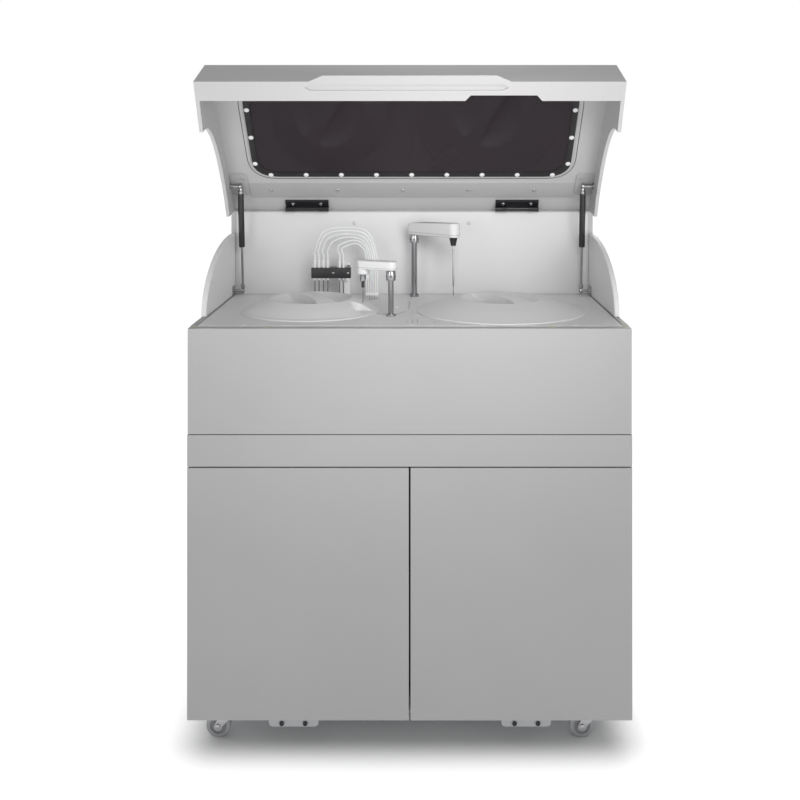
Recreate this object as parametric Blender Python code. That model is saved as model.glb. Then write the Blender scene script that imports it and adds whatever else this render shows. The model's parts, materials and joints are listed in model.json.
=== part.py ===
"""Floor-standing chemistry analyzer: cabinet on casters, tinted-window lid, two carousels, two probe arms.

Metres, +Z up, the front faces -Y. The origin is on the floor, under the middle of the cabinet.
"""

from math import atan2, cos, hypot, pi, radians, sin, sqrt

import bmesh
import bpy
from mathutils import Matrix, Vector

# Clearances and drawing values
SEAT = 0.0003
RUN = 0.0006
OVERRUN = 0.002
WELD = 0.00001
DOUBLED = 0.000002
SMOOTH = radians(35)
ROUND_STEPS = 36
SMALL_STEPS = 12
QUARTER_STEPS = 5

# Cabinet
BODY_W = 0.900
BODY_D = 0.680
DECK_Z = 0.868
FLOOR_GAP = 0.076
FRONT_DEPTH = 0.0305
REAR_DEPTH = 0.018
SIDE_DEPTH = 0.012
SKIN = 0.002
UPPER_H = 0.2138
UPPER_INSET = 0.001
BAND_H = 0.0640
SEAM = 0.0015
DOOR_SEAM = 0.0026
VENT_COUNT = 8
VENT_W = 0.120
VENT_H = 0.005
VENT_PITCH = 0.014
VENT_X = 0.210
VENT_TOP = 0.560

# Doors and their pivots
DOOR_DEPTH = 0.027
DOOR_GAP = 0.0036
DOOR_TURN_X = 0.008
DOOR_TURN_Y = 0.012
PIVOT_R = 0.0040
PIVOT_L = 0.0120
PIVOT_HEAD_R = 0.0058
PIVOT_ARM_T = 0.004
PIVOT_ARM_RISE = 0.007
PIVOT_NOTCH_H = 0.0170

# Frame of welded square tube and the floor plate on it
TUBE = 0.030
FRAME_MID_Z = 0.600
BASE_T = 0.003
DECK_T = 0.006
DECK_START = 0.031
DECK_MARGIN = 0.014
FOOT_X = 0.2385
FOOT_W = 0.102
FOOT_T = 0.003
FOOT_DROP = 0.0302
FOOT_CORNER = 0.008
FOOT_FLANGE = 0.030
FOOT_SCREW_X = 0.024
FOOT_SCREW_Z = 0.0533
SCREW_R = 0.0045
SCREW_H = 0.0020
SCREW_STEPS = 8

# Casters
CASTER_SIDE = 0.070
CASTER_INSET = 0.080
CASTER_TRAIL = 0.021
WHEEL_R = 0.025
WHEEL_W = 0.018
WHEEL_STEPS = 16
FORK_T = 0.0025
FORK_CLEAR = 0.0010
FORK_HALF = 0.015
FORK_EYE_R = 0.009
RACE_R = 0.019
RACE_H = 0.008
CROWN_H = 0.0040
AXLE_R = 0.0030
AXLE_HEAD_R = 0.0055
AXLE_HEAD_H = 0.0025

# Wings beside the deck
WING_T = 0.012
WING_RUN = 0.340
WING_H = 0.150
WING_STEPS = 12

# Back wall and rear housing
WALL_Y = 0.470
WALL_T = 0.002
WALL_H = 0.203
HOUSING_INSET = 0.002
HOUSING_T = 0.004
HOUSING_TOP = 0.235
LEDGE_H = 0.205
HOUSING_ROUND = 0.030
COVE_GAP = 0.002

# Lid, drawn closed, then turned open about its hinge
HINGE_Y = 0.455
HINGE_H = 0.212
LID_OPEN = radians(60)
LID_WALL = 0.0080
LID_SHEET = 0.0035
LIP_H = 0.0030
LIP_LEAN = 0.0186
FACE_TOP = 0.121
LIP_DEPTH = 0.045
LIP_T = 0.0050
LIP_BACK_H = 0.014
FACE_T = 0.0060
LID_REAR_Y = 0.470
LID_REAR_H = 0.235
NOTCH_RUN_GAP = 0.010
NOTCH_RISE_GAP = 0.012
NOTCH_STEPS = 10
LID_TIP_Y = 0.444
GRIP_HALF = 0.217
GRIP_FLAT = 0.180
GRIP_OUT = 0.014
GRIP_TOP = 0.052
GRIP_LAP = 0.003
GROOVE_LEFT = -0.219
GROOVE_RIGHT = 0.205
GROOVE_POINT = 0.012
GROOVE_NEAR = 0.0076
GROOVE_FAR = 0.0210
GROOVE_DEPTH = 0.0030
RECESS_LEFT = 0.1265
RECESS_RIGHT = 0.2650
RECESS_RAMP = 0.011
RECESS_DEPTH = 0.013

# Window in the lid, measured along the lid's top from its front edge
PANE_START = 0.060
PANE_END = 0.342
PANE_SIDE = 0.070
PANE_T = 0.003
PANE_CORNER = 0.045
GASKET_T = 0.0015
GASKET_W = 0.014
CAP_R = 0.0063
CAP_H = 0.0035
CAP_INSET = 0.0072
CAP_COUNT_REAR = 9
CAP_SIDE = 3
CAP_REAR_INSET = 0.041
CAP_SIDE_PITCH = 0.086
DOME_SHARES = ((0.0, 1.0), (0.70, 0.80), (1.0, 0.25), (1.0, 0.0), (0.0, 0.0))
STRIP_START = 0.364
STRIP_END = 0.418
STRIP_T = 0.0020
STRIP_SIDE = 0.053

# Lid hinges
LEAF_X = 0.259
LEAF_W = 0.106
LEAF_T = 0.003
LEAF_REACH = 0.0185
STRAP_START = 0.428
STRAP_END = 0.455
STRAP_T = 0.005
KNUCKLE_R = 0.0045
KNUCKLE_PIN_R = 0.0020
KNUCKLE_SHARE = 0.5
WEB_RISE = 0.012

# Gas struts
STRUT_INSET = 0.034
STRUT_LOW_Y = 0.440
STRUT_LOW_H = 0.013
STRUT_TOP_Y = 0.407
STRUT_TOP_H = 0.270
STRUT_ROD_R = 0.0030
STRUT_TUBE_R = 0.0073
STRUT_BORE_R = 0.0042
STRUT_ROD_SHOWS = 0.109
STRUT_ROD_INSIDE = 0.020
STRUT_BORE_L = 0.096
STRUT_EYE_R = 0.0070
STRUT_EYE_T = 0.0070
STRUT_PIN_R = 0.0032
STRUT_TIP_GAP = 0.0012
STUD_BASE_T = 0.003
STUD_BASE_W = 0.024
STUD_COLLAR_R = 0.0045
STUD_PAD_R = 0.0072

# Carousels and their covers
RIGHT_X = 0.2017
LEFT_X = -0.2238
DISC_Y = 0.223
RIGHT_R = 0.1886
LEFT_R = 0.1534
RIGHT_TUB_R = 0.158
LEFT_TUB_R = 0.128
TUB_T = 0.003
TUB_DEPTH = 0.085
HUB_HOLE_R = 0.014
HUB_R = 0.012
COVER_T = 0.003
RIM_H = 0.003
RIM_SHOULDER_H = 0.0045
RIM_SHOULDER = 0.005
CREST_H = 0.0295
CREST_R = 0.092
DISH_H = 0.0143
DISH_R = 0.062
MID_RISE_SHARE = 0.56
MID_RUN_SHARE = 0.50
BAR_W = 0.030
BAR_TOP = 0.0386
BAR_TURN = radians(-60)
BAR_STEPS = 6
PORT_X = -0.1095
PORT_Y = 0.168
PORT_MOUTH_Y = 0.158
PORT_R = 0.022
PORT_FLOOR = 0.006
PORT_HOLE_R = 0.006
ROTOR_T = 0.005
ROTOR_GAP = 0.009
ROTOR_RISE = 0.020
RACK_T = 0.002
HUB_TOP = 0.058
BOTTLE_COUNT = 14
BOTTLE_D = 0.040
BOTTLE_W = 0.030
BOTTLE_H = 0.036
BOTTLE_TAPER_SHARE = 0.55
BOTTLE_RING_R = 0.116
BOTTLE_CAP_R = 0.0072
BOTTLE_CAP_H = 0.008
BOTTLE_CAP_LAP = 0.0001
INNER_COUNT = 6
INNER_RING_R = 0.062
CUVETTE_COUNT = 24
CUVETTE_SIZE = 0.008
CUVETTE_H = 0.028
CUVETTE_RING_R = 0.110
MOTOR_W = 0.057
MOTOR_H = 0.056

# Left probe arm
LEFT_POST_X = -0.0426
LEFT_POST_Y = 0.149
LEFT_POST_R = 0.006
LEFT_NEEDLE_X = -0.1045
LEFT_NEEDLE_Y = 0.175
LEFT_ARM_TOP = 0.1185
LEFT_ARM_T = 0.020
LEFT_HEAD_T = 0.031
LEFT_ARM_R = 0.0138
LEFT_NEEDLE_TIP = 0.024
LEFT_NUT_R = 0.0065
LEFT_NUT_H = 0.015
LEFT_SLEEVE_R = 0.0035
LEFT_SLEEVE_H = 0.014
LEFT_NEEDLE_R = 0.0014
LEFT_COLLAR_R = 0.0105
LEFT_COLLAR_H = 0.021
LEFT_FLANGE_R = 0.011
LEFT_FLANGE_H = 0.004

# Right probe arm
RIGHT_POST_X = 0.0057
RIGHT_POST_Y = 0.427
RIGHT_POST_R = 0.007
RIGHT_NEEDLE_X = 0.0984
RIGHT_NEEDLE_Y = 0.340
RIGHT_ARM_TOP = 0.186
RIGHT_ARM_T = 0.034
RIGHT_ARM_R = 0.0155
RIGHT_TAIL_DROP = 0.011
RIGHT_TAIL_RUN = 0.024
RIGHT_BOOT_R = 0.010
RIGHT_BOOT_TIP_R = 0.006
RIGHT_BOOT_H = 0.019
RIGHT_NEEDLE_R = 0.0020
RIGHT_TIP_R = 0.0010
RIGHT_NEEDLE_STEP = 0.037
RIGHT_NEEDLE_TIP = 0.0145
RIGHT_COLLAR_R = 0.0115
RIGHT_COLLAR_H = 0.020
RIGHT_FLANGE_R = 0.0105
RIGHT_FLANGE_H = 0.007
POST_BELOW = 0.110
ARM_ROUND = 0.004
ARM_STEPS = 10

# Wash station behind the left cover
WASH_Y = 0.400
WASH_LEFT = -0.2417
WASH_RIGHT = -0.1467
WASH_LOW = 0.0495
WASH_HIGH = 0.074
WASH_D = 0.016
WASH_STATION_SHARES = (0.08632, 0.19263, 0.30632, 0.41579, 0.71789, 0.81368)
WASH_NEEDLE_R = 0.0014
WASH_NEEDLE_END = -0.030
WASH_FITTING_R = 0.0036
WASH_FITTING_H = 0.018
WASH_BARB_H = 0.033
WASH_SLOT_D = 0.014
WASH_SLOT_MARGIN = 0.006
WASH_POST_LEFT = -0.176
WASH_POST_RIGHT = -0.150
WASH_POST_D = 0.020
WASH_POST_H = 0.085
WASH_FOOT_T = 0.003
WASH_FOOT_D = 0.034
WASH_SHELF_T = 0.0045
TUBE_R = 0.0016
TUBE_DROP_X = -0.096
TUBE_DROP_PITCH = 0.0052
TUBE_ARCH_LOW = 0.132
TUBE_ARCH_PITCH = 0.0078
TUBE_END = -0.040
TUBE_HOLE_R = 0.018
TUBE_POINTS = 12
CLIP_WALL = 0.0015
CLIP_LOW = 0.006
CLIP_H = 0.008

# Units inside the cabinet
BOTTLE_BIG_R = 0.085
BOTTLE_BIG_H = 0.240
BOTTLE_BIG_X = 0.300
BOTTLE_BIG_Y = 0.200
BOTTLE_NECK_R = 0.026
BOTTLE_NECK_H = 0.030
TRAY_T = 0.004
PUMP_W = 0.240
PUMP_D = 0.120
PUMP_H = 0.180
PUMP_FROM_REAR = 0.160
PUMP_X = -0.200
SYRINGES = 3
SYRINGE_R = 0.014
SYRINGE_H = 0.070
SYRINGE_PITCH = 0.070
POWER_W = 0.220
POWER_D = 0.140
POWER_H = 0.110
POWER_X = 0.220
POWER_FROM_REAR = 0.160

FRONT_Y = -BODY_D / 2
HALF_W = BODY_W / 2
CASTER_X = HALF_W - CASTER_SIDE
FRAME_HALF = HALF_W - SIDE_DEPTH - SEAT
BASE_TOP = FLOOR_GAP + BASE_T
UPPER_LOW = DECK_Z - UPPER_H
BAND_TOP = UPPER_LOW - SEAM
BAND_LOW = BAND_TOP - BAND_H
DOOR_TOP = BAND_LOW - DOOR_SEAM
FRAME_FRONT = FRONT_DEPTH + SEAT
FRAME_REAR = BODY_D - REAR_DEPTH - SEAT
PIVOT_X = HALF_W - DOOR_TURN_X
TUB_FLOOR_LOW = DECK_Z - TUB_DEPTH - TUB_T
DECK_HALF = HALF_W - DECK_MARGIN
WALL_HALF = DECK_HALF
HOUSING_HALF = HALF_W - HOUSING_INSET
LID_HALF = HOUSING_HALF
PANE_HALF = LID_HALF - PANE_SIDE
CAP_REAR_HALF = PANE_HALF - CAP_REAR_INSET
STRIP_HALF = LID_HALF - STRIP_SIDE
STRUT_X = LID_HALF - STRUT_INSET
CASTER_REAR = BODY_D - CASTER_INSET
PUMP_Y = BODY_D - PUMP_FROM_REAR
POWER_Y = BODY_D - POWER_FROM_REAR
WASH_STATIONS = [WASH_LEFT + (WASH_RIGHT - WASH_LEFT) * share for share in WASH_STATION_SHARES]


def back(distance):
    """World Y of a place this far behind the front face."""
    return FRONT_Y + distance


def up(height):
    """World Z of a place this far above the deck."""
    return DECK_Z + height


def paint(name, color, roughness, metallic=0.0, alpha=1.0):
    """A Principled material of one plain finish."""
    material = bpy.data.materials.new(name)
    material.use_nodes = True
    shader = material.node_tree.nodes["Principled BSDF"]
    shader.inputs["Base Color"].default_value = (*color, 1.0)
    shader.inputs["Roughness"].default_value = roughness
    shader.inputs["Metallic"].default_value = metallic
    shader.inputs["Alpha"].default_value = alpha
    return material


def solid(bm):
    """A bmesh made into an object, with its faces pointing out and its normals smoothed over small angles."""
    bmesh.ops.recalc_face_normals(bm, faces=bm.faces)
    mesh = bpy.data.meshes.new("solid")
    bm.to_mesh(mesh)
    bm.free()
    obj = bpy.data.objects.new("solid", mesh)
    bpy.context.collection.objects.link(obj)
    return obj


def box(low, high):
    """A block between two corners."""
    bm = bmesh.new()
    bmesh.ops.create_cube(bm, size=1.0)
    size = Vector(high) - Vector(low)
    middle = (Vector(high) + Vector(low)) / 2
    bmesh.ops.scale(bm, vec=size, verts=bm.verts)
    bmesh.ops.translate(bm, vec=middle, verts=bm.verts)
    return solid(bm)


def plate(outline, axis, low, high):
    """A flat outline carried along an axis. Its two coordinates are the other two axes, in X, Y, Z order."""
    place = {
        "X": lambda a, b: (low, a, b),
        "Y": lambda a, b: (a, low, b),
        "Z": lambda a, b: (a, b, low),
    }[axis]
    step = {"X": (1, 0, 0), "Y": (0, 1, 0), "Z": (0, 0, 1)}[axis]
    bm = bmesh.new()
    face = bm.faces.new([bm.verts.new(place(a, b)) for a, b in outline])
    moved = bmesh.ops.extrude_face_region(bm, geom=[face])
    verts = [item for item in moved["geom"] if isinstance(item, bmesh.types.BMVert)]
    bmesh.ops.translate(bm, vec=Vector(step) * (high - low), verts=verts)
    return solid(bm)


def turned(profile, centre, steps=ROUND_STEPS, axis="Z"):
    """A closed profile of (radius, height) points spun about an axis through the centre."""
    bm = bmesh.new()
    verts = [bm.verts.new((radius, 0, height)) for radius, height in profile]
    closes = profile[0][0] > WELD or profile[-1][0] > WELD
    pairs = list(zip(verts, verts[1:] + verts[:1])) if closes else list(zip(verts, verts[1:]))
    edges = [bm.edges.new(pair) for pair in pairs]
    bmesh.ops.spin(
        bm,
        geom=verts + edges,
        cent=(0, 0, 0),
        axis=(0, 0, 1),
        angle=2 * pi,
        steps=steps,
        use_merge=True,
    )
    bmesh.ops.remove_doubles(bm, verts=bm.verts, dist=WELD)
    if axis == "X":
        bmesh.ops.rotate(bm, verts=bm.verts, cent=(0, 0, 0), matrix=Matrix.Rotation(pi / 2, 3, "Y"))
    if axis == "Y":
        bmesh.ops.rotate(bm, verts=bm.verts, cent=(0, 0, 0), matrix=Matrix.Rotation(-pi / 2, 3, "X"))
    bmesh.ops.translate(bm, vec=centre, verts=bm.verts)
    return solid(bm)


def post(x, y, low, high, radius, steps=SMALL_STEPS, tip=None):
    """An upright round bar, or a cone if its tip radius is given."""
    profile = [(0, low), (radius if tip is None else tip, low), (radius, high), (0, high)]
    return turned(profile, (x, y, 0), steps)


def cross_bar(centre, axis, half, radius, steps=SMALL_STEPS):
    """A level round bar along X or Y, centred at a place."""
    return turned([(0, -half), (radius, -half), (radius, half), (0, half)], centre, steps, axis)


def place(obj, matrix):
    """Turns or moves a shape's own points."""
    obj.data.transform(matrix)
    return obj


def combine(target, tool, operation):
    """One Boolean, applied, with its tool used up."""
    modifier = target.modifiers.new(operation.lower(), "BOOLEAN")
    modifier.operation = operation
    modifier.solver = "EXACT"
    modifier.object = tool
    bpy.context.view_layer.update()
    graph = bpy.context.evaluated_depsgraph_get()
    mesh = bpy.data.meshes.new_from_object(target.evaluated_get(graph))
    target.modifiers.clear()
    target.data = mesh
    bpy.data.objects.remove(tool)
    return target


def fuse(first, *others):
    """Shapes that pass into each other, made one solid."""
    for other in others:
        combine(first, other, "UNION")
    return first


def carve(target, *tools):
    """A shape less the tools."""
    for tool in tools:
        combine(target, tool, "DIFFERENCE")
    return target


def merged(obj):
    """A shape with the doubled points merged that its Booleans left."""
    bm = bmesh.new()
    bm.from_mesh(obj.data)
    bmesh.ops.remove_doubles(bm, verts=bm.verts, dist=DOUBLED)
    bm.to_mesh(obj.data)
    bm.free()
    return obj


def rounded(half_x, half_y, radius, centre=(0, 0), steps=QUARTER_STEPS):
    """The outline of a rectangle with round corners."""
    points = []
    for quarter, (sx, sy) in enumerate(((1, 1), (-1, 1), (-1, -1), (1, -1))):
        for step in range(steps + 1):
            turn = (quarter + step / steps) * pi / 2
            points.append(
                (
                    centre[0] + sx * (half_x - radius) + radius * cos(turn),
                    centre[1] + sy * (half_y - radius) + radius * sin(turn),
                )
            )
    return points


def node(name, material, obj, pivot=None):
    """Names a finished shape as one sub-part, and hangs it on its joint's empty if it moves."""
    mesh = obj.data
    obj.name = name
    mesh.name = name
    mesh.materials.clear()
    mesh.materials.append(material)
    mesh.shade_smooth()
    mesh.set_sharp_from_angle(angle=SMOOTH)
    if pivot is not None:
        mesh.transform(Matrix.Translation(pivot["place"]).inverted())
        obj.parent = pivot["empty"]
    return obj


def joint(name, place_at, turn=0.0):
    """An empty on a joint's axis, turned about X where its pieces are drawn in another position."""
    empty = bpy.data.objects.new(name, None)
    empty.location = place_at
    empty.rotation_euler = (turn, 0, 0)
    bpy.context.collection.objects.link(empty)
    return {"empty": empty, "place": Vector(place_at)}


def tray(low, high, open_side):
    """A sheet panel with its edges folded back: a block hollowed from one side, '+Y', '-Y', '+X' or '-X'."""
    inner_low = [value + SKIN for value in low]
    inner_high = [value - SKIN for value in high]
    index = "XY".index(open_side[1])
    if open_side[0] == "+":
        inner_high[index] = high[index] + OVERRUN
    else:
        inner_low[index] = low[index] - OVERRUN
    return carve(box(low, high), box(inner_low, inner_high))


def frame_ring(z, front_rail=True):
    """One level of the frame: four rails, or three where the carousel wells need the front."""
    outer = box((-FRAME_HALF, back(FRAME_FRONT), z), (FRAME_HALF, back(FRAME_REAR), z + TUBE))
    inner_front = FRAME_FRONT + TUBE if front_rail else FRAME_FRONT - OVERRUN
    inner = box(
        (-FRAME_HALF + TUBE, back(inner_front), z - OVERRUN),
        (FRAME_HALF - TUBE, back(FRAME_REAR - TUBE), z + TUBE + OVERRUN),
    )
    return carve(outer, inner)


def pivot_arm(side):
    """The arm and pin that carry a door's lower edge, seated on the front of the frame."""
    x = side * PIVOT_X
    y = back(DOOR_TURN_Y)
    low = FLOOR_GAP + SKIN + PIVOT_ARM_RISE
    high = low + PIVOT_ARM_T
    ends = sorted((x + side * PIVOT_HEAD_R, side * (FRAME_HALF - TUBE / 2)))
    arm = box((ends[0], y - PIVOT_HEAD_R, low), (ends[1], back(FRAME_FRONT) - SEAT, high))
    return fuse(arm, post(x, y, FLOOR_GAP, low + PIVOT_ARM_T / 2, PIVOT_R))


def pivot_pin(side):
    """The pin that holds a door's upper edge, set in the band above it."""
    return post(side * PIVOT_X, back(DOOR_TURN_Y), BAND_LOW - PIVOT_L, BAND_LOW + SKIN / 2, PIVOT_R)


def chassis_frame():
    low = BASE_TOP + SEAT
    high = DECK_Z - DECK_T - SEAT
    rings = [frame_ring(low), frame_ring(FRAME_MID_Z), frame_ring(high - TUBE, False)]
    uprights = []
    for x in (-FRAME_HALF, FRAME_HALF - TUBE):
        for y in (FRAME_FRONT, FRAME_REAR - TUBE):
            uprights.append(box((x, back(y), low + WELD), (x + TUBE, back(y + TUBE), high - WELD)))
    node("chassis_frame", STEEL_PAINT, fuse(rings[0], *uprights, *rings[1:]))
    node("left_door_pivot", STEEL_PAINT, pivot_arm(-1))
    node("right_door_pivot", STEEL_PAINT, pivot_arm(1))


def base_plate():
    node(
        "base_plate",
        STEEL_PAINT,
        box((-FRAME_HALF, back(FRAME_FRONT), FLOOR_GAP), (FRAME_HALF, back(FRAME_REAR), BASE_TOP)),
    )


def panels():
    inset = HALF_W - UPPER_INSET
    node(
        "front_upper_panel",
        WHITE,
        tray((-inset, back(0), UPPER_LOW), (inset, back(FRONT_DEPTH), DECK_Z), "+Y"),
    )
    band = tray((-HALF_W, back(0), BAND_LOW), (HALF_W, back(FRONT_DEPTH), BAND_TOP), "+Y")
    node("front_band", WHITE, fuse(band, pivot_pin(-1), pivot_pin(1)))
    for name, side in (("left_side_panel", -1), ("right_side_panel", 1)):
        ends = sorted((side * HALF_W, side * (HALF_W - SIDE_DEPTH)))
        low = (ends[0], back(FRAME_FRONT), FLOOR_GAP)
        high = (ends[1], back(FRAME_REAR), DECK_Z)
        node(name, WHITE, tray(low, high, "+X" if side < 0 else "-X"))
    rear = tray((-HALF_W, back(BODY_D - REAR_DEPTH), FLOOR_GAP), (HALF_W, back(BODY_D), DECK_Z), "-Y")
    for side in (-1, 1):
        for row in range(VENT_COUNT):
            z = VENT_TOP - row * VENT_PITCH
            middle = side * VENT_X
            slot = box(
                (middle - VENT_W / 2, back(BODY_D - REAR_DEPTH) - OVERRUN, z - VENT_H / 2),
                (middle + VENT_W / 2, back(BODY_D) + OVERRUN, z + VENT_H / 2),
            )
            carve(rear, slot)
    node("rear_panel", WHITE, rear)


def doors():
    for name, side in (("left_door", -1), ("right_door", 1)):
        ends = sorted((side * HALF_W, side * DOOR_GAP / 2))
        leaf = tray((ends[0], back(0), FLOOR_GAP), (ends[1], back(DOOR_DEPTH), DOOR_TOP), "+Y")
        x = side * PIVOT_X
        y = back(DOOR_TURN_Y)
        hole_r = PIVOT_R + RUN
        edge = side * HALF_W
        notch_x = sorted((edge + side * OVERRUN, edge - side * (SKIN + OVERRUN)))
        notch_low = FLOOR_GAP + SKIN + SEAT
        carve(
            leaf,
            post(x, y, FLOOR_GAP - OVERRUN, FLOOR_GAP + SKIN + OVERRUN, hole_r),
            post(x, y, DOOR_TOP - SKIN - OVERRUN, DOOR_TOP + OVERRUN, hole_r),
            box(
                (notch_x[0], back(SKIN + SEAT), notch_low + SKIN),
                (notch_x[1], back(DOOR_DEPTH + OVERRUN), notch_low + PIVOT_NOTCH_H),
            ),
        )
        node(name, WHITE, leaf, joint(name + "_hinge", (x, y, FLOOR_GAP)))


def foot_plates():
    high = FLOOR_GAP - SEAT
    low = FLOOR_GAP - FOOT_DROP
    for name, side in (("left_foot_plate", -1), ("right_foot_plate", 1)):
        left = side * FOOT_X - FOOT_W / 2
        right = side * FOOT_X + FOOT_W / 2
        corners = []
        for step in range(QUARTER_STEPS + 1):
            turn = step * pi / 2 / QUARTER_STEPS
            corners.append((left + FOOT_CORNER * (1 - cos(turn)), low + FOOT_CORNER * (1 - sin(turn))))
        for step in range(QUARTER_STEPS + 1):
            turn = step * pi / 2 / QUARTER_STEPS
            corners.append((right - FOOT_CORNER * (1 - sin(turn)), low + FOOT_CORNER * (1 - cos(turn))))
        front = back(FRAME_FRONT)
        leaf = plate([(left, high), *corners, (right, high)], "Y", front, front + FOOT_T)
        flange = box((left, front, high - FOOT_T), (right, front + FOOT_FLANGE, high))
        fuse(leaf, flange)
        for offset in (-FOOT_SCREW_X, FOOT_SCREW_X):
            centre = (side * FOOT_X + offset, front, FOOT_SCREW_Z)
            fuse(leaf, cross_bar(centre, "Y", SCREW_H, SCREW_R, SCREW_STEPS))
        node(name, STEEL_PAINT, leaf)


def caster(name, x, y):
    axle_z = WHEEL_R * cos(pi / WHEEL_STEPS)
    top = FLOOR_GAP - SEAT
    wheel_x = x - CASTER_TRAIL
    gap = WHEEL_W / 2 + FORK_CLEAR
    crown_low = axle_z + WHEEL_R + FORK_CLEAR
    race_low = top - RACE_H
    race = post(x, y, race_low, top, RACE_R, ROUND_STEPS // 2)
    crown = box(
        (x - FORK_HALF, y - gap - FORK_T, crown_low),
        (x + FORK_HALF, y + gap + FORK_T, race_low + WELD),
    )
    shapes = [race, crown]
    eye = [
        (wheel_x + FORK_EYE_R * cos(turn), axle_z + FORK_EYE_R * sin(turn))
        for turn in (pi + step * pi / QUARTER_STEPS for step in range(QUARTER_STEPS + 1))
    ]
    outline = [(x - FORK_HALF, crown_low + CROWN_H), *eye, (x + FORK_HALF, crown_low + CROWN_H)]
    for side in (-1, 1):
        faces = sorted((y + side * gap, y + side * (gap + FORK_T)))
        shapes.append(plate(outline, "Y", *faces))
    fork = fuse(*shapes)
    carve(fork, cross_bar((wheel_x, y, axle_z), "Y", gap + FORK_T + OVERRUN, AXLE_R + RUN))
    node(name + "_fork", STEEL, fork, joint(name + "_swivel", (x, y, top)))
    half = WHEEL_W / 2
    end = gap + FORK_T + RUN
    profile = [
        (0, -end - AXLE_HEAD_H),
        (AXLE_HEAD_R, -end - AXLE_HEAD_H),
        (AXLE_HEAD_R, -end),
        (AXLE_R, -end),
        (AXLE_R, -half),
        (WHEEL_R, -half),
        (WHEEL_R, half),
        (AXLE_R, half),
        (AXLE_R, end),
        (AXLE_HEAD_R, end),
        (AXLE_HEAD_R, end + AXLE_HEAD_H),
        (0, end + AXLE_HEAD_H),
    ]
    wheel = turned(profile, (0, 0, 0), WHEEL_STEPS, "Y")
    place(wheel, Matrix.Rotation(pi / WHEEL_STEPS, 4, "Y"))
    place(wheel, Matrix.Translation((wheel_x, y, axle_z)))
    node(name + "_wheel", RUBBER, wheel, joint(name + "_axle", (wheel_x, y, axle_z)))


def casters():
    for name, x, y in (
        ("front_left_caster", -CASTER_X, CASTER_INSET),
        ("front_right_caster", CASTER_X, CASTER_INSET),
        ("rear_left_caster", -CASTER_X, CASTER_REAR),
        ("rear_right_caster", CASTER_X, CASTER_REAR),
    ):
        caster(name, x, back(y))


def deck_plate():
    """The deck with a round well under each cover, its holes, and a bushing round each arm's post."""
    deck = box((-DECK_HALF, back(DECK_START), up(-DECK_T)), (DECK_HALF, back(WALL_Y) - SEAT, up(0)))
    wells = ((RIGHT_X, RIGHT_TUB_R), (LEFT_X, LEFT_TUB_R))
    bushings = (
        (LEFT_POST_X, LEFT_POST_Y, LEFT_POST_R, LEFT_FLANGE_R, LEFT_FLANGE_H),
        (RIGHT_POST_X, RIGHT_POST_Y, RIGHT_POST_R, RIGHT_FLANGE_R, RIGHT_FLANGE_H),
    )
    y = back(DISC_Y)
    for x, radius in wells:
        fuse(deck, post(x, y, TUB_FLOOR_LOW, up(-DECK_T / 2), radius, ROUND_STEPS))
    for x, py, _, flange_r, height in bushings:
        fuse(deck, post(x, back(py), up(-DECK_T / 2), up(height), flange_r, 2 * SMALL_STEPS))
    for x, radius in wells:
        carve(
            deck,
            post(x, y, up(-TUB_DEPTH), up(OVERRUN), radius - TUB_T, ROUND_STEPS),
            post(x, y, TUB_FLOOR_LOW - OVERRUN, up(OVERRUN - TUB_DEPTH), HUB_HOLE_R, 2 * SMALL_STEPS),
        )
        merged(deck)
    low = up(-DECK_T - OVERRUN)
    for x, py, radius, _, height in bushings:
        merged(carve(deck, post(x, back(py), low, up(height + OVERRUN), radius + RUN, 2 * SMALL_STEPS)))
    slot = box(
        (WASH_STATIONS[0] - WASH_SLOT_MARGIN, back(WASH_Y) - WASH_SLOT_D / 2, low),
        (WASH_STATIONS[-1] + WASH_SLOT_MARGIN, back(WASH_Y) + WASH_SLOT_D / 2, up(OVERRUN)),
    )
    drop = post(TUBE_DROP_X, back(WASH_Y), low, up(OVERRUN), TUBE_HOLE_R, 2 * SMALL_STEPS)
    node("deck_plate", WHITE, merged(carve(deck, slot, drop)))


def wings():
    turns = [step * pi / 2 / WING_STEPS for step in range(WING_STEPS + 1)]
    curve = [(back(WALL_Y - WING_RUN * cos(turn)), up(SEAT + WING_H * sin(turn))) for turn in turns]
    outline = [*curve, (back(WALL_Y), up(SEAT))]
    outline = [(y - SEAT, z) for y, z in outline]
    for name, side in (("left_wing", -1), ("right_wing", 1)):
        node(name, WHITE, plate(outline, "X", *sorted((side * HALF_W, side * (HALF_W - WING_T)))))


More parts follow.
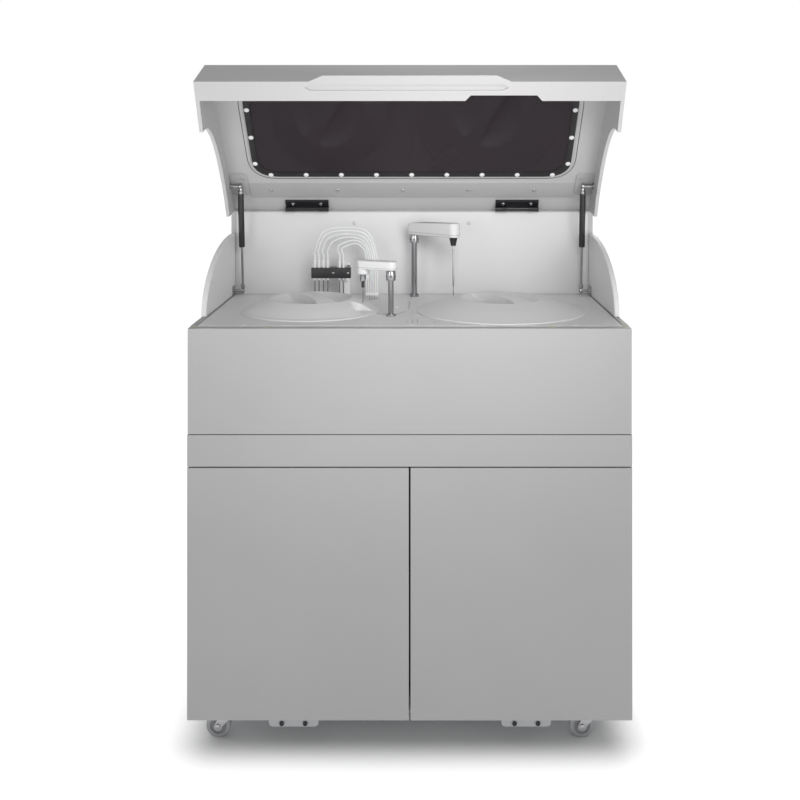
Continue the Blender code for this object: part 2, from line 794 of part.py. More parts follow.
def rear_housing():
    reach = hypot(LID_REAR_Y - HINGE_Y, LID_REAR_H - HINGE_H) + COVE_GAP
    low_turn = -atan2(HINGE_H - LEDGE_H, sqrt(reach**2 - (HINGE_H - LEDGE_H) ** 2))
    high_turn = atan2(HOUSING_TOP - HINGE_H, sqrt(reach**2 - (HOUSING_TOP - HINGE_H) ** 2))
    cove = []
    for step in range(QUARTER_STEPS + 1):
        turn = low_turn + (high_turn - low_turn) * step / QUARTER_STEPS
        cove.append((back(HINGE_Y + reach * cos(turn)), up(HINGE_H + reach * sin(turn))))
    rear = BODY_D
    crown = []
    for step in range(QUARTER_STEPS + 1):
        turn = pi / 2 - step * pi / 2 / QUARTER_STEPS
        crown.append(
            (
                back(rear - HOUSING_ROUND + HOUSING_ROUND * cos(turn)),
                up(HOUSING_TOP - HOUSING_ROUND + HOUSING_ROUND * sin(turn)),
            )
        )
    base = up(SEAT)
    outline = [(back(WALL_Y), base), (back(WALL_Y), up(LEDGE_H)), *cove, *crown, (back(rear), base)]
    shell = plate(outline, "X", -HOUSING_HALF, HOUSING_HALF)
    inner_front = HINGE_Y + reach + HOUSING_T
    inner = box(
        (-HOUSING_HALF + HOUSING_T, back(inner_front), base - OVERRUN),
        (HOUSING_HALF - HOUSING_T, back(rear - HOUSING_T), up(HOUSING_TOP - HOUSING_ROUND)),
    )
    front_inner = box(
        (-HOUSING_HALF + HOUSING_T, back(WALL_Y + WALL_T + HOUSING_T), base - OVERRUN),
        (HOUSING_HALF - HOUSING_T, back(inner_front + OVERRUN), up(LEDGE_H - HOUSING_T)),
    )
    pocket = box(
        (-WALL_HALF - SEAT, back(WALL_Y - OVERRUN), base - OVERRUN),
        (WALL_HALF + SEAT, back(WALL_Y + WALL_T) + SEAT, up(WALL_H) + SEAT),
    )
    node("rear_housing", WHITE, carve(shell, inner, front_inner, pocket))
    wall = box((-WALL_HALF, back(WALL_Y), up(SEAT)), (WALL_HALF, back(WALL_Y + WALL_T), up(WALL_H)))
    node("back_wall", WHITE, wall)


def lid_slope():
    """The angle and length of the lid's top, from its front edge to its rear edge."""
    run = LID_REAR_Y - LIP_LEAN
    rise = LID_REAR_H - FACE_TOP
    return atan2(rise, run), hypot(run, rise)


def lid_point(along, depth):
    """World Y and Z on the closed lid, given a distance along its top and a depth in from its outside."""
    slope, _ = lid_slope()
    y = LIP_LEAN + along * cos(slope) + depth * sin(slope)
    height = FACE_TOP + along * sin(slope) - depth * cos(slope)
    return back(y), up(height)


def lid_section():
    """The lid's wall across its width: lip, leaning face, long top and rear edge."""
    _, length = lid_slope()
    lean = LIP_LEAN / (FACE_TOP - LIP_H)
    outer = [(back(0), up(LIP_H)), (back(LIP_LEAN), up(FACE_TOP)), lid_point(length, 0)]
    inner_top = lid_point(length, LID_SHEET)
    corner = lid_point(FACE_T, LID_SHEET)
    lip_top = LIP_H + LIP_T
    return [
        *outer,
        inner_top,
        corner,
        (back(FACE_T + lean * LIP_T), up(lip_top)),
        (back(LIP_DEPTH - LIP_T), up(lip_top)),
        (back(LIP_DEPTH - LIP_T), up(LIP_H + LIP_BACK_H)),
        (back(LIP_DEPTH), up(LIP_H + LIP_BACK_H)),
        (back(LIP_DEPTH), up(LIP_H)),
    ]


def lid_side_outline():
    """A side wall of the lid, with the long concave edge that clears the wing."""
    run = WING_RUN + NOTCH_RUN_GAP
    rise = WING_H + NOTCH_RISE_GAP
    start = atan2(LIP_H / rise, 1.0)
    end = atan2(sqrt(1 - ((WALL_Y - LID_TIP_Y) / run) ** 2), (WALL_Y - LID_TIP_Y) / run)
    notch = []
    for step in range(NOTCH_STEPS + 1):
        turn = start + (end - start) * step / NOTCH_STEPS
        notch.append((back(WALL_Y - run * cos(turn)), up(rise * sin(turn))))
    return [
        (back(0), up(LIP_H)),
        (back(LIP_LEAN), up(FACE_TOP)),
        (back(LID_REAR_Y), up(LID_REAR_H)),
        *reversed(notch),
    ]


def on_lid(outline, low_depth, high_depth):
    """A flat shape laid on the lid's top. Its outline is (X, distance along the top)."""
    slope, _ = lid_slope()
    shape = plate(outline, "Z", -high_depth, -low_depth)
    front_y, front_z = lid_point(0, 0)
    return place(shape, Matrix.Translation((0, front_y, front_z)) @ Matrix.Rotation(slope, 4, "X"))


def cap_on_lid(x, along, depth, radius, height, steps=SMALL_STEPS):
    """A domed cap standing inward from the lid's inner side."""
    slope, _ = lid_slope()
    profile = [(radius * across, -height * out) for across, out in DOME_SHARES]
    shape = turned(profile, (x, along, -depth), steps)
    front_y, front_z = lid_point(0, 0)
    return place(shape, Matrix.Translation((0, front_y, front_z)) @ Matrix.Rotation(slope, 4, "X"))


def lip_recess(shell):
    """The finger groove under the lid's lip, and the shallow step in its rear edge over the right cover."""
    groove_middle = (GROOVE_NEAR + GROOVE_FAR) / 2
    groove = plate(
        [
            (GROOVE_LEFT, back(groove_middle)),
            (GROOVE_LEFT + GROOVE_POINT, back(GROOVE_NEAR)),
            (GROOVE_RIGHT - GROOVE_POINT, back(GROOVE_NEAR)),
            (GROOVE_RIGHT, back(groove_middle)),
            (GROOVE_RIGHT - GROOVE_POINT, back(GROOVE_FAR)),
            (GROOVE_LEFT + GROOVE_POINT, back(GROOVE_FAR)),
        ],
        "Z",
        up(LIP_H - OVERRUN),
        up(LIP_H + GROOVE_DEPTH),
    )
    rear = LIP_DEPTH - RECESS_DEPTH
    block = plate(
        [
            (RECESS_LEFT - RECESS_RAMP - LIP_T, back(LIP_DEPTH - WELD)),
            (RECESS_LEFT - LIP_T, back(rear - LIP_T)),
            (RECESS_RIGHT + LIP_T, back(rear - LIP_T)),
            (RECESS_RIGHT + RECESS_RAMP + LIP_T, back(LIP_DEPTH - WELD)),
        ],
        "Z",
        up(LIP_H + WELD),
        up(LIP_H + LIP_BACK_H - WELD),
    )
    fuse(shell, block)
    cut = plate(
        [
            (RECESS_LEFT - RECESS_RAMP, back(LIP_DEPTH + OVERRUN)),
            (RECESS_LEFT - RECESS_RAMP, back(LIP_DEPTH)),
            (RECESS_LEFT, back(rear)),
            (RECESS_RIGHT, back(rear)),
            (RECESS_RIGHT + RECESS_RAMP, back(LIP_DEPTH)),
            (RECESS_RIGHT + RECESS_RAMP, back(LIP_DEPTH + OVERRUN)),
        ],
        "Z",
        up(LIP_H - OVERRUN),
        up(LIP_H + LIP_BACK_H + OVERRUN),
    )
    carve(shell, groove, cut)


def lid():
    pivot = joint("lid_hinge", (0, back(HINGE_Y), up(HINGE_H)), -LID_OPEN)
    shell = plate(lid_section(), "X", -LID_HALF + LID_WALL / 2, LID_HALF - LID_WALL / 2)
    for side in (-1, 1):
        ends = sorted((side * LID_HALF, side * (LID_HALF - LID_WALL)))
        fuse(shell, plate(lid_side_outline(), "X", *ends))
    grip_back = back(GRIP_LAP)
    lean = LIP_LEAN / (FACE_TOP - LIP_H)
    grip = plate(
        [
            (-GRIP_HALF, grip_back),
            (-GRIP_FLAT, back(-GRIP_OUT)),
            (GRIP_FLAT, back(-GRIP_OUT)),
            (GRIP_HALF, grip_back),
        ],
        "Z",
        up(LIP_H),
        up(LIP_H + GRIP_TOP),
    )
    for vert in grip.data.vertices:
        if vert.co.z > up(LIP_H + GRIP_TOP / 2):
            vert.co.y += lean * GRIP_TOP
            if vert.co.y < back(lean * GRIP_TOP):
                vert.co.y = back(lean * GRIP_TOP + GRIP_LAP / 2)
    fuse(shell, grip)
    lip_recess(shell)
    middle = (PANE_START + PANE_END) / 2
    half = (PANE_END - PANE_START) / 2
    cut_half = PANE_HALF - GASKET_W
    opening = on_lid(
        rounded(cut_half, half - GASKET_W, PANE_CORNER - GASKET_W / 2, (0, middle)),
        -OVERRUN,
        LID_SHEET + OVERRUN,
    )
    carve(shell, opening)
    strip = on_lid(
        [
            (-STRIP_HALF, STRIP_START),
            (STRIP_HALF, STRIP_START),
            (STRIP_HALF, STRIP_END),
            (-STRIP_HALF, STRIP_END),
        ],
        LID_SHEET / 2,
        LID_SHEET + STRIP_T,
    )
    node("lid_shell", WHITE, fuse(shell, strip), pivot)
    pane_low = LID_SHEET + SEAT
    frame_low = pane_low + PANE_T + SEAT
    pane = on_lid(rounded(PANE_HALF, half, PANE_CORNER, (0, middle)), pane_low, pane_low + PANE_T)
    node("lid_window", SMOKED, pane, pivot)
    ring = on_lid(rounded(PANE_HALF, half, PANE_CORNER, (0, middle)), frame_low, frame_low + GASKET_T)
    hole = on_lid(
        rounded(cut_half, half - GASKET_W, PANE_CORNER - GASKET_W / 2, (0, middle)),
        frame_low - OVERRUN,
        frame_low + GASKET_T + OVERRUN,
    )
    carve(ring, hole)
    cap_depth = frame_low + GASKET_T / 2
    for index in range(CAP_COUNT_REAR):
        x = -CAP_REAR_HALF + 2 * CAP_REAR_HALF * index / (CAP_COUNT_REAR - 1)
        fuse(ring, cap_on_lid(x, PANE_END - CAP_INSET, cap_depth, CAP_R, CAP_H, SCREW_STEPS))
    for side in (-1, 1):
        for index in range(CAP_SIDE):
            along = PANE_END - PANE_CORNER - index * CAP_SIDE_PITCH
            x = side * (PANE_HALF - CAP_INSET)
            fuse(ring, cap_on_lid(x, along, cap_depth, CAP_R, CAP_H, SCREW_STEPS))
    node("window_frame", BLACK_RUBBER, ring, pivot)
    axis_y = back(HINGE_Y)
    axis_z = up(HINGE_H)
    knuckle_half = LEAF_W * KNUCKLE_SHARE / 2
    for name, side in (("left_hinge_strap", -1), ("right_hinge_strap", 1)):
        x = side * LEAF_X
        strap_low = LID_SHEET + SEAT
        strap = on_lid(
            [
                (x - LEAF_W / 2, STRAP_START),
                (x + LEAF_W / 2, STRAP_START),
                (x + LEAF_W / 2, STRAP_END),
                (x - LEAF_W / 2, STRAP_END),
            ],
            strap_low,
            strap_low + STRAP_T,
        )
        web = box(
            (x - knuckle_half, axis_y - LEAF_T / 2, axis_z),
            (x + knuckle_half, axis_y + LEAF_T / 2, axis_z + WEB_RISE),
        )
        fuse(strap, web, cross_bar((x, axis_y, axis_z), "X", knuckle_half, KNUCKLE_R))
        carve(strap, cross_bar((x, axis_y, axis_z), "X", knuckle_half + OVERRUN, KNUCKLE_PIN_R + RUN))
        node(name, BLACK, strap, pivot)
    return pivot


def lid_hinge_leaves():
    axis_y = back(HINGE_Y)
    axis_z = up(HINGE_H)
    knuckle_half = LEAF_W * KNUCKLE_SHARE / 2
    for name, side in (("left_hinge_leaf", -1), ("right_hinge_leaf", 1)):
        x = side * LEAF_X
        leaf_low = up(LEDGE_H) + SEAT
        leaf = box(
            (x - LEAF_W / 2, axis_y, leaf_low),
            (x + LEAF_W / 2, axis_y + LEAF_REACH, leaf_low + LEAF_T),
        )
        relief = box(
            (x - knuckle_half - RUN, axis_y - OVERRUN, leaf_low - OVERRUN),
            (x + knuckle_half + RUN, axis_y + KNUCKLE_R + OVERRUN, leaf_low + LEAF_T + OVERRUN),
        )
        carve(leaf, relief)
        end = (LEAF_W / 2 - knuckle_half - RUN) / 2
        for way in (-1, 1):
            middle = x + way * (LEAF_W / 2 - end)
            fuse(leaf, cross_bar((middle, axis_y, axis_z), "X", end, KNUCKLE_R))
        fuse(leaf, cross_bar((x, axis_y, axis_z), "X", LEAF_W / 2 - end, KNUCKLE_PIN_R))
        node(name, BLACK, leaf)


def struts(lid_pivot):
    low = Vector((0, back(STRUT_LOW_Y), up(STRUT_LOW_H)))
    top = Vector((0, back(STRUT_TOP_Y), up(STRUT_TOP_H)))
    length = (top - low).length
    lean = atan2(low.y - top.y, top.z - low.z)
    for name, side in (("left", -1), ("right", 1)):
        x = side * STRUT_X
        stand = Matrix.Translation((x, low.y, low.z)) @ Matrix.Rotation(lean, 4, "X")
        pivot = joint(name + "_strut_pivot", (x, low.y, low.z))
        rod_end = STRUT_ROD_SHOWS + STRUT_ROD_INSIDE
        rod = fuse(
            cross_bar((0, 0, 0), "X", STRUT_EYE_T / 2, STRUT_EYE_R),
            post(0, 0, STRUT_PIN_R, rod_end, STRUT_ROD_R),
        )
        carve(rod, cross_bar((0, 0, 0), "X", STRUT_EYE_T, STRUT_PIN_R + RUN))
        node(name + "_strut_rod", STEEL, place(rod, stand), pivot)
        tube = fuse(
            post(0, 0, STRUT_ROD_SHOWS, length - 2 * STRUT_EYE_R - STRUT_PIN_R, STRUT_TUBE_R),
            post(0, 0, length - 3 * STRUT_EYE_R, length - STRUT_PIN_R, STRUT_BORE_R),
            cross_bar((0, 0, length), "X", STRUT_EYE_T / 2, STRUT_EYE_R),
        )
        carve(tube, post(0, 0, STRUT_ROD_SHOWS - OVERRUN, STRUT_ROD_SHOWS + STRUT_BORE_L, STRUT_BORE_R))
        tube_start = tuple(stand @ Vector((0, 0, STRUT_ROD_SHOWS)))
        node(name + "_strut_tube", BLACK, place(tube, stand), joint(name + "_strut_slide", tube_start))
        wall_x = side * (HALF_W - WING_T) - side * SEAT
        pin_end = x - side * STRUT_EYE_T / 2
        ends = sorted((wall_x, wall_x - side * STUD_BASE_T))
        stud = box(
            (ends[0], low.y - STUD_BASE_W / 2, up(SEAT)),
            (ends[1], low.y + STUD_BASE_W / 2, low.z + STUD_BASE_W / 2),
        )
        inset = STUD_BASE_T / 4
        pin_half = abs(wall_x - pin_end) / 2 - inset
        pin_middle = (wall_x + pin_end) / 2 - side * inset
        fuse(stud, cross_bar((pin_middle, low.y, low.z), "X", pin_half, STRUT_PIN_R))
        node(name + "_lower_stud", STEEL, stud)
        lid_wall = side * (LID_HALF - LID_WALL - SEAT)
        tip = x + side * (STRUT_EYE_T / 2 + STRUT_TIP_GAP)
        pad_x = lid_wall - side * STUD_BASE_T / 2
        pad = cross_bar((pad_x, top.y, top.z), "X", STUD_BASE_T / 2, STUD_PAD_R, 2 * SCREW_STEPS)
        pin_half = abs(lid_wall - tip) / 2 - inset / 2
        pin_middle = (lid_wall + tip) / 2 - side * inset / 2
        fuse(pad, cross_bar((pin_middle, top.y, top.z), "X", pin_half, STUD_COLLAR_R))
        closed = Matrix.Translation(lid_pivot["place"]) @ Matrix.Rotation(LID_OPEN, 4, "X")
        place(pad, closed @ Matrix.Translation(lid_pivot["place"]).inverted())
        node(name + "_upper_stud", STEEL, pad, lid_pivot)


def cover_knee(radius):
    """The place on a cover's cone where its slope changes, as radius and height above the deck."""
    rim = radius - RIM_SHOULDER
    run = (rim - CREST_R) * MID_RUN_SHARE
    return CREST_R + run, RIM_SHOULDER_H + (CREST_H - RIM_SHOULDER_H) * MID_RISE_SHARE


def cover_top(radius):
    """Half a section of a carousel cover's outer side: finger dish, crest, shallow cone and rim."""
    dish = [(0, DISH_H), (DISH_R, DISH_H), (CREST_R - COVER_T, CREST_H - COVER_T / 2), (CREST_R, CREST_H)]
    return [*dish, cover_knee(radius), (radius - RIM_SHOULDER, RIM_SHOULDER_H), (radius, RIM_H)]


def cover_profile(radius):
    """Half a section of a carousel cover, over its outer side and back under it."""
    knee_r, knee_h = cover_knee(radius)
    inner = [
        (radius, SEAT),
        (radius - COVER_T, SEAT),
        (radius - RIM_SHOULDER - COVER_T, RIM_H - COVER_T / 2),
        (knee_r, knee_h - COVER_T),
        (CREST_R, CREST_H - 2 * COVER_T),
        (DISH_R, DISH_H - COVER_T),
        (0, DISH_H - COVER_T),
    ]
    return [(r, up(h)) for r, h in cover_top(radius) + inner]


def cover_bar(x):
    """The finger bar across the dish, arched over its length."""
    reach = CREST_R + COVER_T / 2
    outline = []
    for step in range(BAR_STEPS + 1):
        share = -1 + 2 * step / BAR_STEPS
        rise = (BAR_TOP - CREST_H + COVER_T) * (1 - share**2)
        outline.append((share * reach, up(CREST_H - COVER_T + rise)))
    outline += [(DISH_R, up(DISH_H - COVER_T / 2)), (-DISH_R, up(DISH_H - COVER_T / 2))]
    bar = plate(outline, "Y", -BAR_W / 2, BAR_W / 2)
    return place(bar, Matrix.Translation((x, back(DISC_Y), 0)) @ Matrix.Rotation(BAR_TURN, 4, "Z"))


def disc_covers():
    right = turned(cover_profile(RIGHT_R), (RIGHT_X, back(DISC_Y), 0))
    fuse(right, cover_bar(RIGHT_X))
    node("right_disc_cover", WHITE_PLASTIC, right, joint("right_cover_lift", (RIGHT_X, back(DISC_Y), up(0))))
    left = turned(cover_profile(LEFT_R), (LEFT_X, back(DISC_Y), 0))
    fuse(left, cover_bar(LEFT_X))
    port = (PORT_X, back(PORT_Y))
    mouth = (LEFT_X + LEFT_R, back(PORT_MOUTH_Y))
    scoop = plate(arm_outline(port, mouth, PORT_R), "Z", up(PORT_FLOOR), up(BAR_TOP))
    walls = plate(arm_outline(port, mouth, PORT_R + COVER_T), "Z", up(PORT_FLOOR - COVER_T), up(BAR_TOP))
    under = [(r, up(h - COVER_T / 2)) for r, h in cover_top(LEFT_R)]
    reach = LEFT_R - COVER_T / 2
    filling = turned([*under[:-1], (reach, up(0)), (0, up(0))], (LEFT_X, back(DISC_Y), 0))
    fuse(left, combine(walls, filling, "INTERSECT"))
    hole = post(LEFT_NEEDLE_X, back(LEFT_NEEDLE_Y), up(-OVERRUN), up(CREST_H), PORT_HOLE_R)
    carve(left, scoop, hole)
    node("left_disc_cover", WHITE_PLASTIC, left, joint("left_cover_lift", (LEFT_X, back(DISC_Y), up(0))))


def rotor(x, radius):
    """A carousel plate on its hub."""
    low = up(-TUB_DEPTH + ROTOR_RISE)
    profile = [
        (0, TUB_FLOOR_LOW),
        (HUB_R, TUB_FLOOR_LOW),
        (HUB_R, low),
        (radius, low),
        (radius, low + ROTOR_T),
        (HUB_R, low + ROTOR_T),
        (HUB_R, up(-TUB_DEPTH + HUB_TOP)),
        (0, up(-TUB_DEPTH + HUB_TOP)),
    ]
    return turned(profile, (x, back(DISC_Y), 0)), low + ROTOR_T + SEAT


def around(shape, x, turn, radius):
    """Puts a shape drawn at the axis out on a ring of a carousel, facing outward."""
    centre = Matrix.Translation((x, back(DISC_Y), 0))
    return place(shape, centre @ Matrix.Rotation(turn, 4, "Z") @ Matrix.Translation((radius, 0, 0)))


def reagent_bottle(low, depth, width):
    """A wedge-shaped reagent bottle with a round cap."""
    narrow = width * BOTTLE_TAPER_SHARE
    outline = [
        (-depth / 2, -narrow / 2),
        (depth / 2, -width / 2),
        (depth / 2, width / 2),
        (-depth / 2, narrow / 2),
    ]
    body = plate(outline, "Z", low, low + BOTTLE_H)
    cap_low = low + BOTTLE_H - BOTTLE_CAP_LAP
    cap_x = depth / 4 - BOTTLE_CAP_R / 2
    cap = post(cap_x, 0, cap_low, low + BOTTLE_H + BOTTLE_CAP_H, BOTTLE_CAP_R, SCREW_STEPS)
    return fuse(body, cap)


def rack(x, rest, inner, outer):
    """A flat ring that pieces stand on, seated on a carousel plate."""
    profile = [(inner, rest), (outer, rest), (outer, rest + RACK_T), (inner, rest + RACK_T)]
    return turned(profile, (x, back(DISC_Y), 0))


def carousels():
    right_r = RIGHT_TUB_R - TUB_T - ROTOR_GAP
    right, rest = rotor(RIGHT_X, right_r)
    pivot = joint("right_rotor_spin", (RIGHT_X, back(DISC_Y), rest))
    node("right_rotor", GREY_PLASTIC, right, pivot)
    bottles = rack(RIGHT_X, rest, HUB_R + RUN, right_r)
    for count, ring_r in ((BOTTLE_COUNT, BOTTLE_RING_R), (INNER_COUNT, INNER_RING_R)):
        for index in range(count):
            bottle = reagent_bottle(rest + RACK_T / 2, BOTTLE_D, BOTTLE_W)
            fuse(bottles, around(bottle, RIGHT_X, 2 * pi * index / count, ring_r))
    node("reagent_rack", WHITE_PLASTIC, bottles, pivot)
    left_r = LEFT_TUB_R - TUB_T - ROTOR_GAP
    left, rest = rotor(LEFT_X, left_r)
    half = CUVETTE_SIZE / 2
    for index in range(CUVETTE_COUNT):
        cuvette = box((-half, -half, rest - ROTOR_T / 2), (half, half, rest + CUVETTE_H))
        fuse(left, around(cuvette, LEFT_X, 2 * pi * index / CUVETTE_COUNT, CUVETTE_RING_R))
    node("left_rotor", GREY_PLASTIC, left, joint("left_rotor_spin", (LEFT_X, back(DISC_Y), rest)))
    half = MOTOR_W / 2
    high = TUB_FLOOR_LOW - SEAT
    y = back(DISC_Y)
    for name, x in (("left_rotor_motor", LEFT_X), ("right_rotor_motor", RIGHT_X)):
        node(name, BLACK, box((x - half, y - half, high - MOTOR_H), (x + half, y + half, high)))


def arm_outline(tail, head, radius):
    """A long outline with round ends about two places."""
    turn = atan2(head[1] - tail[1], head[0] - tail[0])
    points = []
    for step in range(ARM_STEPS + 1):
        angle = turn - pi / 2 + pi * step / ARM_STEPS
        points.append((head[0] + radius * cos(angle), head[1] + radius * sin(angle)))
    for step in range(ARM_STEPS + 1):
        angle = turn + pi / 2 + pi * step / ARM_STEPS
        points.append((tail[0] + radius * cos(angle), tail[1] + radius * sin(angle)))
    return points


def left_arm():
    x = LEFT_POST_X
    y = back(LEFT_POST_Y)
    nx = LEFT_NEEDLE_X
    ny = back(LEFT_NEEDLE_Y)
    under = up(LEFT_ARM_TOP - LEFT_ARM_T)
    lift = joint("left_arm_lift", (x, y, up(0)))
    column = post(x, y, up(-POST_BELOW), under - SEAT, LEFT_POST_R, 2 * SMALL_STEPS)
    collar_top = under - SEAT
    collar_low = collar_top - LEFT_COLLAR_H
    fuse(column, post(x, y, collar_low, collar_top - WELD, LEFT_COLLAR_R, 2 * SMALL_STEPS))
    node("left_post", STEEL, column, lift)
    swing = joint("left_arm_swing", (x, y, under))
    cover = plate(arm_outline((x, y), (nx, ny), LEFT_ARM_R), "Z", under, up(LEFT_ARM_TOP))
    head_low = up(LEFT_ARM_TOP - LEFT_HEAD_T)
    head_r = LEFT_ARM_R * cos(pi / 4 / ARM_STEPS)
    fuse(cover, post(nx, ny, head_low, up(LEFT_ARM_TOP) - ARM_ROUND, head_r, 2 * ARM_STEPS))
    node("left_arm_cover", WHITE_PLASTIC, cover, swing)
    top = head_low - SEAT
    nut_low = top - LEFT_NUT_H
    sleeve_low = nut_low - LEFT_SLEEVE_H
    profile = [
        (0, up(LEFT_NEEDLE_TIP)),
        (LEFT_NEEDLE_R, up(LEFT_NEEDLE_TIP)),
        (LEFT_NEEDLE_R, sleeve_low),
        (LEFT_SLEEVE_R, sleeve_low),
        (LEFT_SLEEVE_R, nut_low),
        (LEFT_NUT_R, nut_low),
        (LEFT_NUT_R, top),
        (0, top),
    ]
    node("left_probe", STEEL, turned(profile, (nx, ny, 0), SMALL_STEPS), swing)


def right_arm():
    x = RIGHT_POST_X
    y = back(RIGHT_POST_Y)
    nx = RIGHT_NEEDLE_X
    ny = back(RIGHT_NEEDLE_Y)
    under = up(RIGHT_ARM_TOP - RIGHT_ARM_T)
    lift = joint("right_arm_lift", (x, y, up(0)))
    column = post(x, y, up(-POST_BELOW), under - SEAT, RIGHT_POST_R, 2 * SMALL_STEPS)
    collar_top = under - SEAT
    collar_low = collar_top - RIGHT_COLLAR_H
    fuse(column, post(x, y, collar_low, collar_top - WELD, RIGHT_COLLAR_R, 2 * SMALL_STEPS))
    node("right_post", STEEL, column, lift)
    swing = joint("right_arm_swing", (x, y, under))
    cover = plate(arm_outline((x, y), (nx, ny), RIGHT_ARM_R), "Z", under, up(RIGHT_ARM_TOP))
    turn = atan2(ny - y, nx - x)
    tail = -RIGHT_ARM_R - OVERRUN
    wedge = plate(
        [
            (tail, up(RIGHT_ARM_TOP - RIGHT_TAIL_DROP)),
            (tail + RIGHT_TAIL_RUN, up(RIGHT_ARM_TOP) + WELD),
            (tail, up(RIGHT_ARM_TOP) + WELD),
        ],
        "Y",
        -RIGHT_ARM_R - OVERRUN,
        RIGHT_ARM_R + OVERRUN,
    )
    carve(cover, place(wedge, Matrix.Translation((x, y, 0)) @ Matrix.Rotation(turn, 4, "Z")))
    node("right_arm_cover", WHITE_PLASTIC, cover, swing)
    top = under - SEAT
    boot_low = top - RIGHT_BOOT_H
    profile = [
        (0, up(RIGHT_NEEDLE_TIP)),
        (RIGHT_TIP_R, up(RIGHT_NEEDLE_TIP)),
        (RIGHT_TIP_R, up(RIGHT_NEEDLE_STEP)),
        (RIGHT_NEEDLE_R, up(RIGHT_NEEDLE_STEP)),
        (RIGHT_NEEDLE_R, boot_low),
        (RIGHT_BOOT_TIP_R, boot_low),
        (RIGHT_BOOT_R, top),
        (0, top),
    ]
    node("right_probe", STEEL, turned(profile, (nx, ny, 0), SMALL_STEPS), swing)


def wash_station():
    y = back(WASH_Y)
    support_top = up(WASH_LOW) - SEAT
    face = y + WASH_D / 2 + SEAT
    upright = box(
        (WASH_POST_LEFT, face, up(SEAT)),
        (WASH_POST_RIGHT, face + WASH_POST_D / 2, up(WASH_POST_H)),
    )
    foot = box((WASH_POST_LEFT, face, up(SEAT)), (WASH_POST_RIGHT, y + WASH_FOOT_D, up(WASH_FOOT_T)))
    shelf_left = WASH_STATIONS[-1] + (WASH_RIGHT - WASH_STATIONS[-1]) / 3
    shelf = box(
        (shelf_left, y - WASH_D / 2, support_top - WASH_SHELF_T),
        (WASH_POST_RIGHT, face + WASH_POST_D / 4, support_top),
    )
    node("wash_support", WHITE_PLASTIC, fuse(upright, foot, shelf))
    lift = joint("wash_head_lift", ((WASH_LEFT + WASH_RIGHT) / 2, y, up(WASH_LOW)))
    block = box(
        (WASH_LEFT, y - WASH_D / 2, up(WASH_LOW)),
        (WASH_RIGHT, y + WASH_D / 2, up(WASH_HIGH)),
    )
    fitting_low = up(WASH_HIGH) - OVERRUN
    for x in WASH_STATIONS:
        profile = [
            (0, up(WASH_NEEDLE_END)),
            (WASH_NEEDLE_R, up(WASH_NEEDLE_END)),
            (WASH_NEEDLE_R, fitting_low),
            (WASH_FITTING_R, fitting_low),
            (WASH_FITTING_R, up(WASH_HIGH + WASH_FITTING_H)),
            (TUBE_R, up(WASH_HIGH + WASH_FITTING_H)),
            (TUBE_R, up(WASH_HIGH + WASH_BARB_H)),
            (0, up(WASH_HIGH + WASH_BARB_H)),
        ]
        fuse(block, turned(profile, (x, y, 0), SCREW_STEPS))
    node("wash_block", BLACK, block, lift)


def wash_tubes():
    """Six soft tubes, nested arches from the fittings to one bundle going down through the deck."""
    curve = bpy.data.curves.new("wash_tubes", "CURVE")
    curve.dimensions = "3D"
    curve.bevel_depth = TUBE_R
    curve.bevel_resolution = 2
    curve.use_fill_caps = True
    y = back(WASH_Y)
    start_h = WASH_HIGH + WASH_BARB_H + SEAT
    count = len(WASH_STATIONS)
    for index, start_x in enumerate(WASH_STATIONS):
        end_x = TUBE_DROP_X + TUBE_DROP_PITCH * ((count - 1) / 2 - index)
        top_h = TUBE_ARCH_LOW + TUBE_ARCH_PITCH * (count - 1 - index)
        half = (end_x - start_x) / 2
        middle = (end_x + start_x) / 2
        rise = top_h - start_h
        points = [(start_x, y, up(start_h))]
        for step in range(TUBE_POINTS + 1):
            turn = pi * step / TUBE_POINTS
            height = start_h + TUBE_R + (rise - TUBE_R) * sin(turn)
            points.append((middle - half * cos(turn), y, up(height)))
        points.append((end_x, y, up(WASH_LOW)))
        points.append((end_x, y, up(TUBE_END)))
        spline = curve.splines.new("POLY")
        spline.points.add(len(points) - 1)
        for point, co in zip(spline.points, points):
            point.co = (*co, 1.0)
    route = bpy.data.objects.new("route", curve)
    bpy.context.collection.objects.link(route)
    bpy.context.view_layer.update()
    graph = bpy.context.evaluated_depsgraph_get()
    tubes = bpy.data.objects.new("tubes", bpy.data.meshes.new_from_object(route.evaluated_get(graph)))
    bpy.context.collection.objects.link(tubes)
    bpy.data.objects.remove(route)
    half = TUBE_DROP_PITCH * count / 2
    grip = TUBE_R + CLIP_WALL
    clip = box(
        (TUBE_DROP_X - half, y - grip, up(CLIP_LOW)),
        (TUBE_DROP_X + half, y + grip, up(CLIP_LOW + CLIP_H)),
    )
    node("wash_tubes", WHITE_PLASTIC, fuse(clip, tubes))


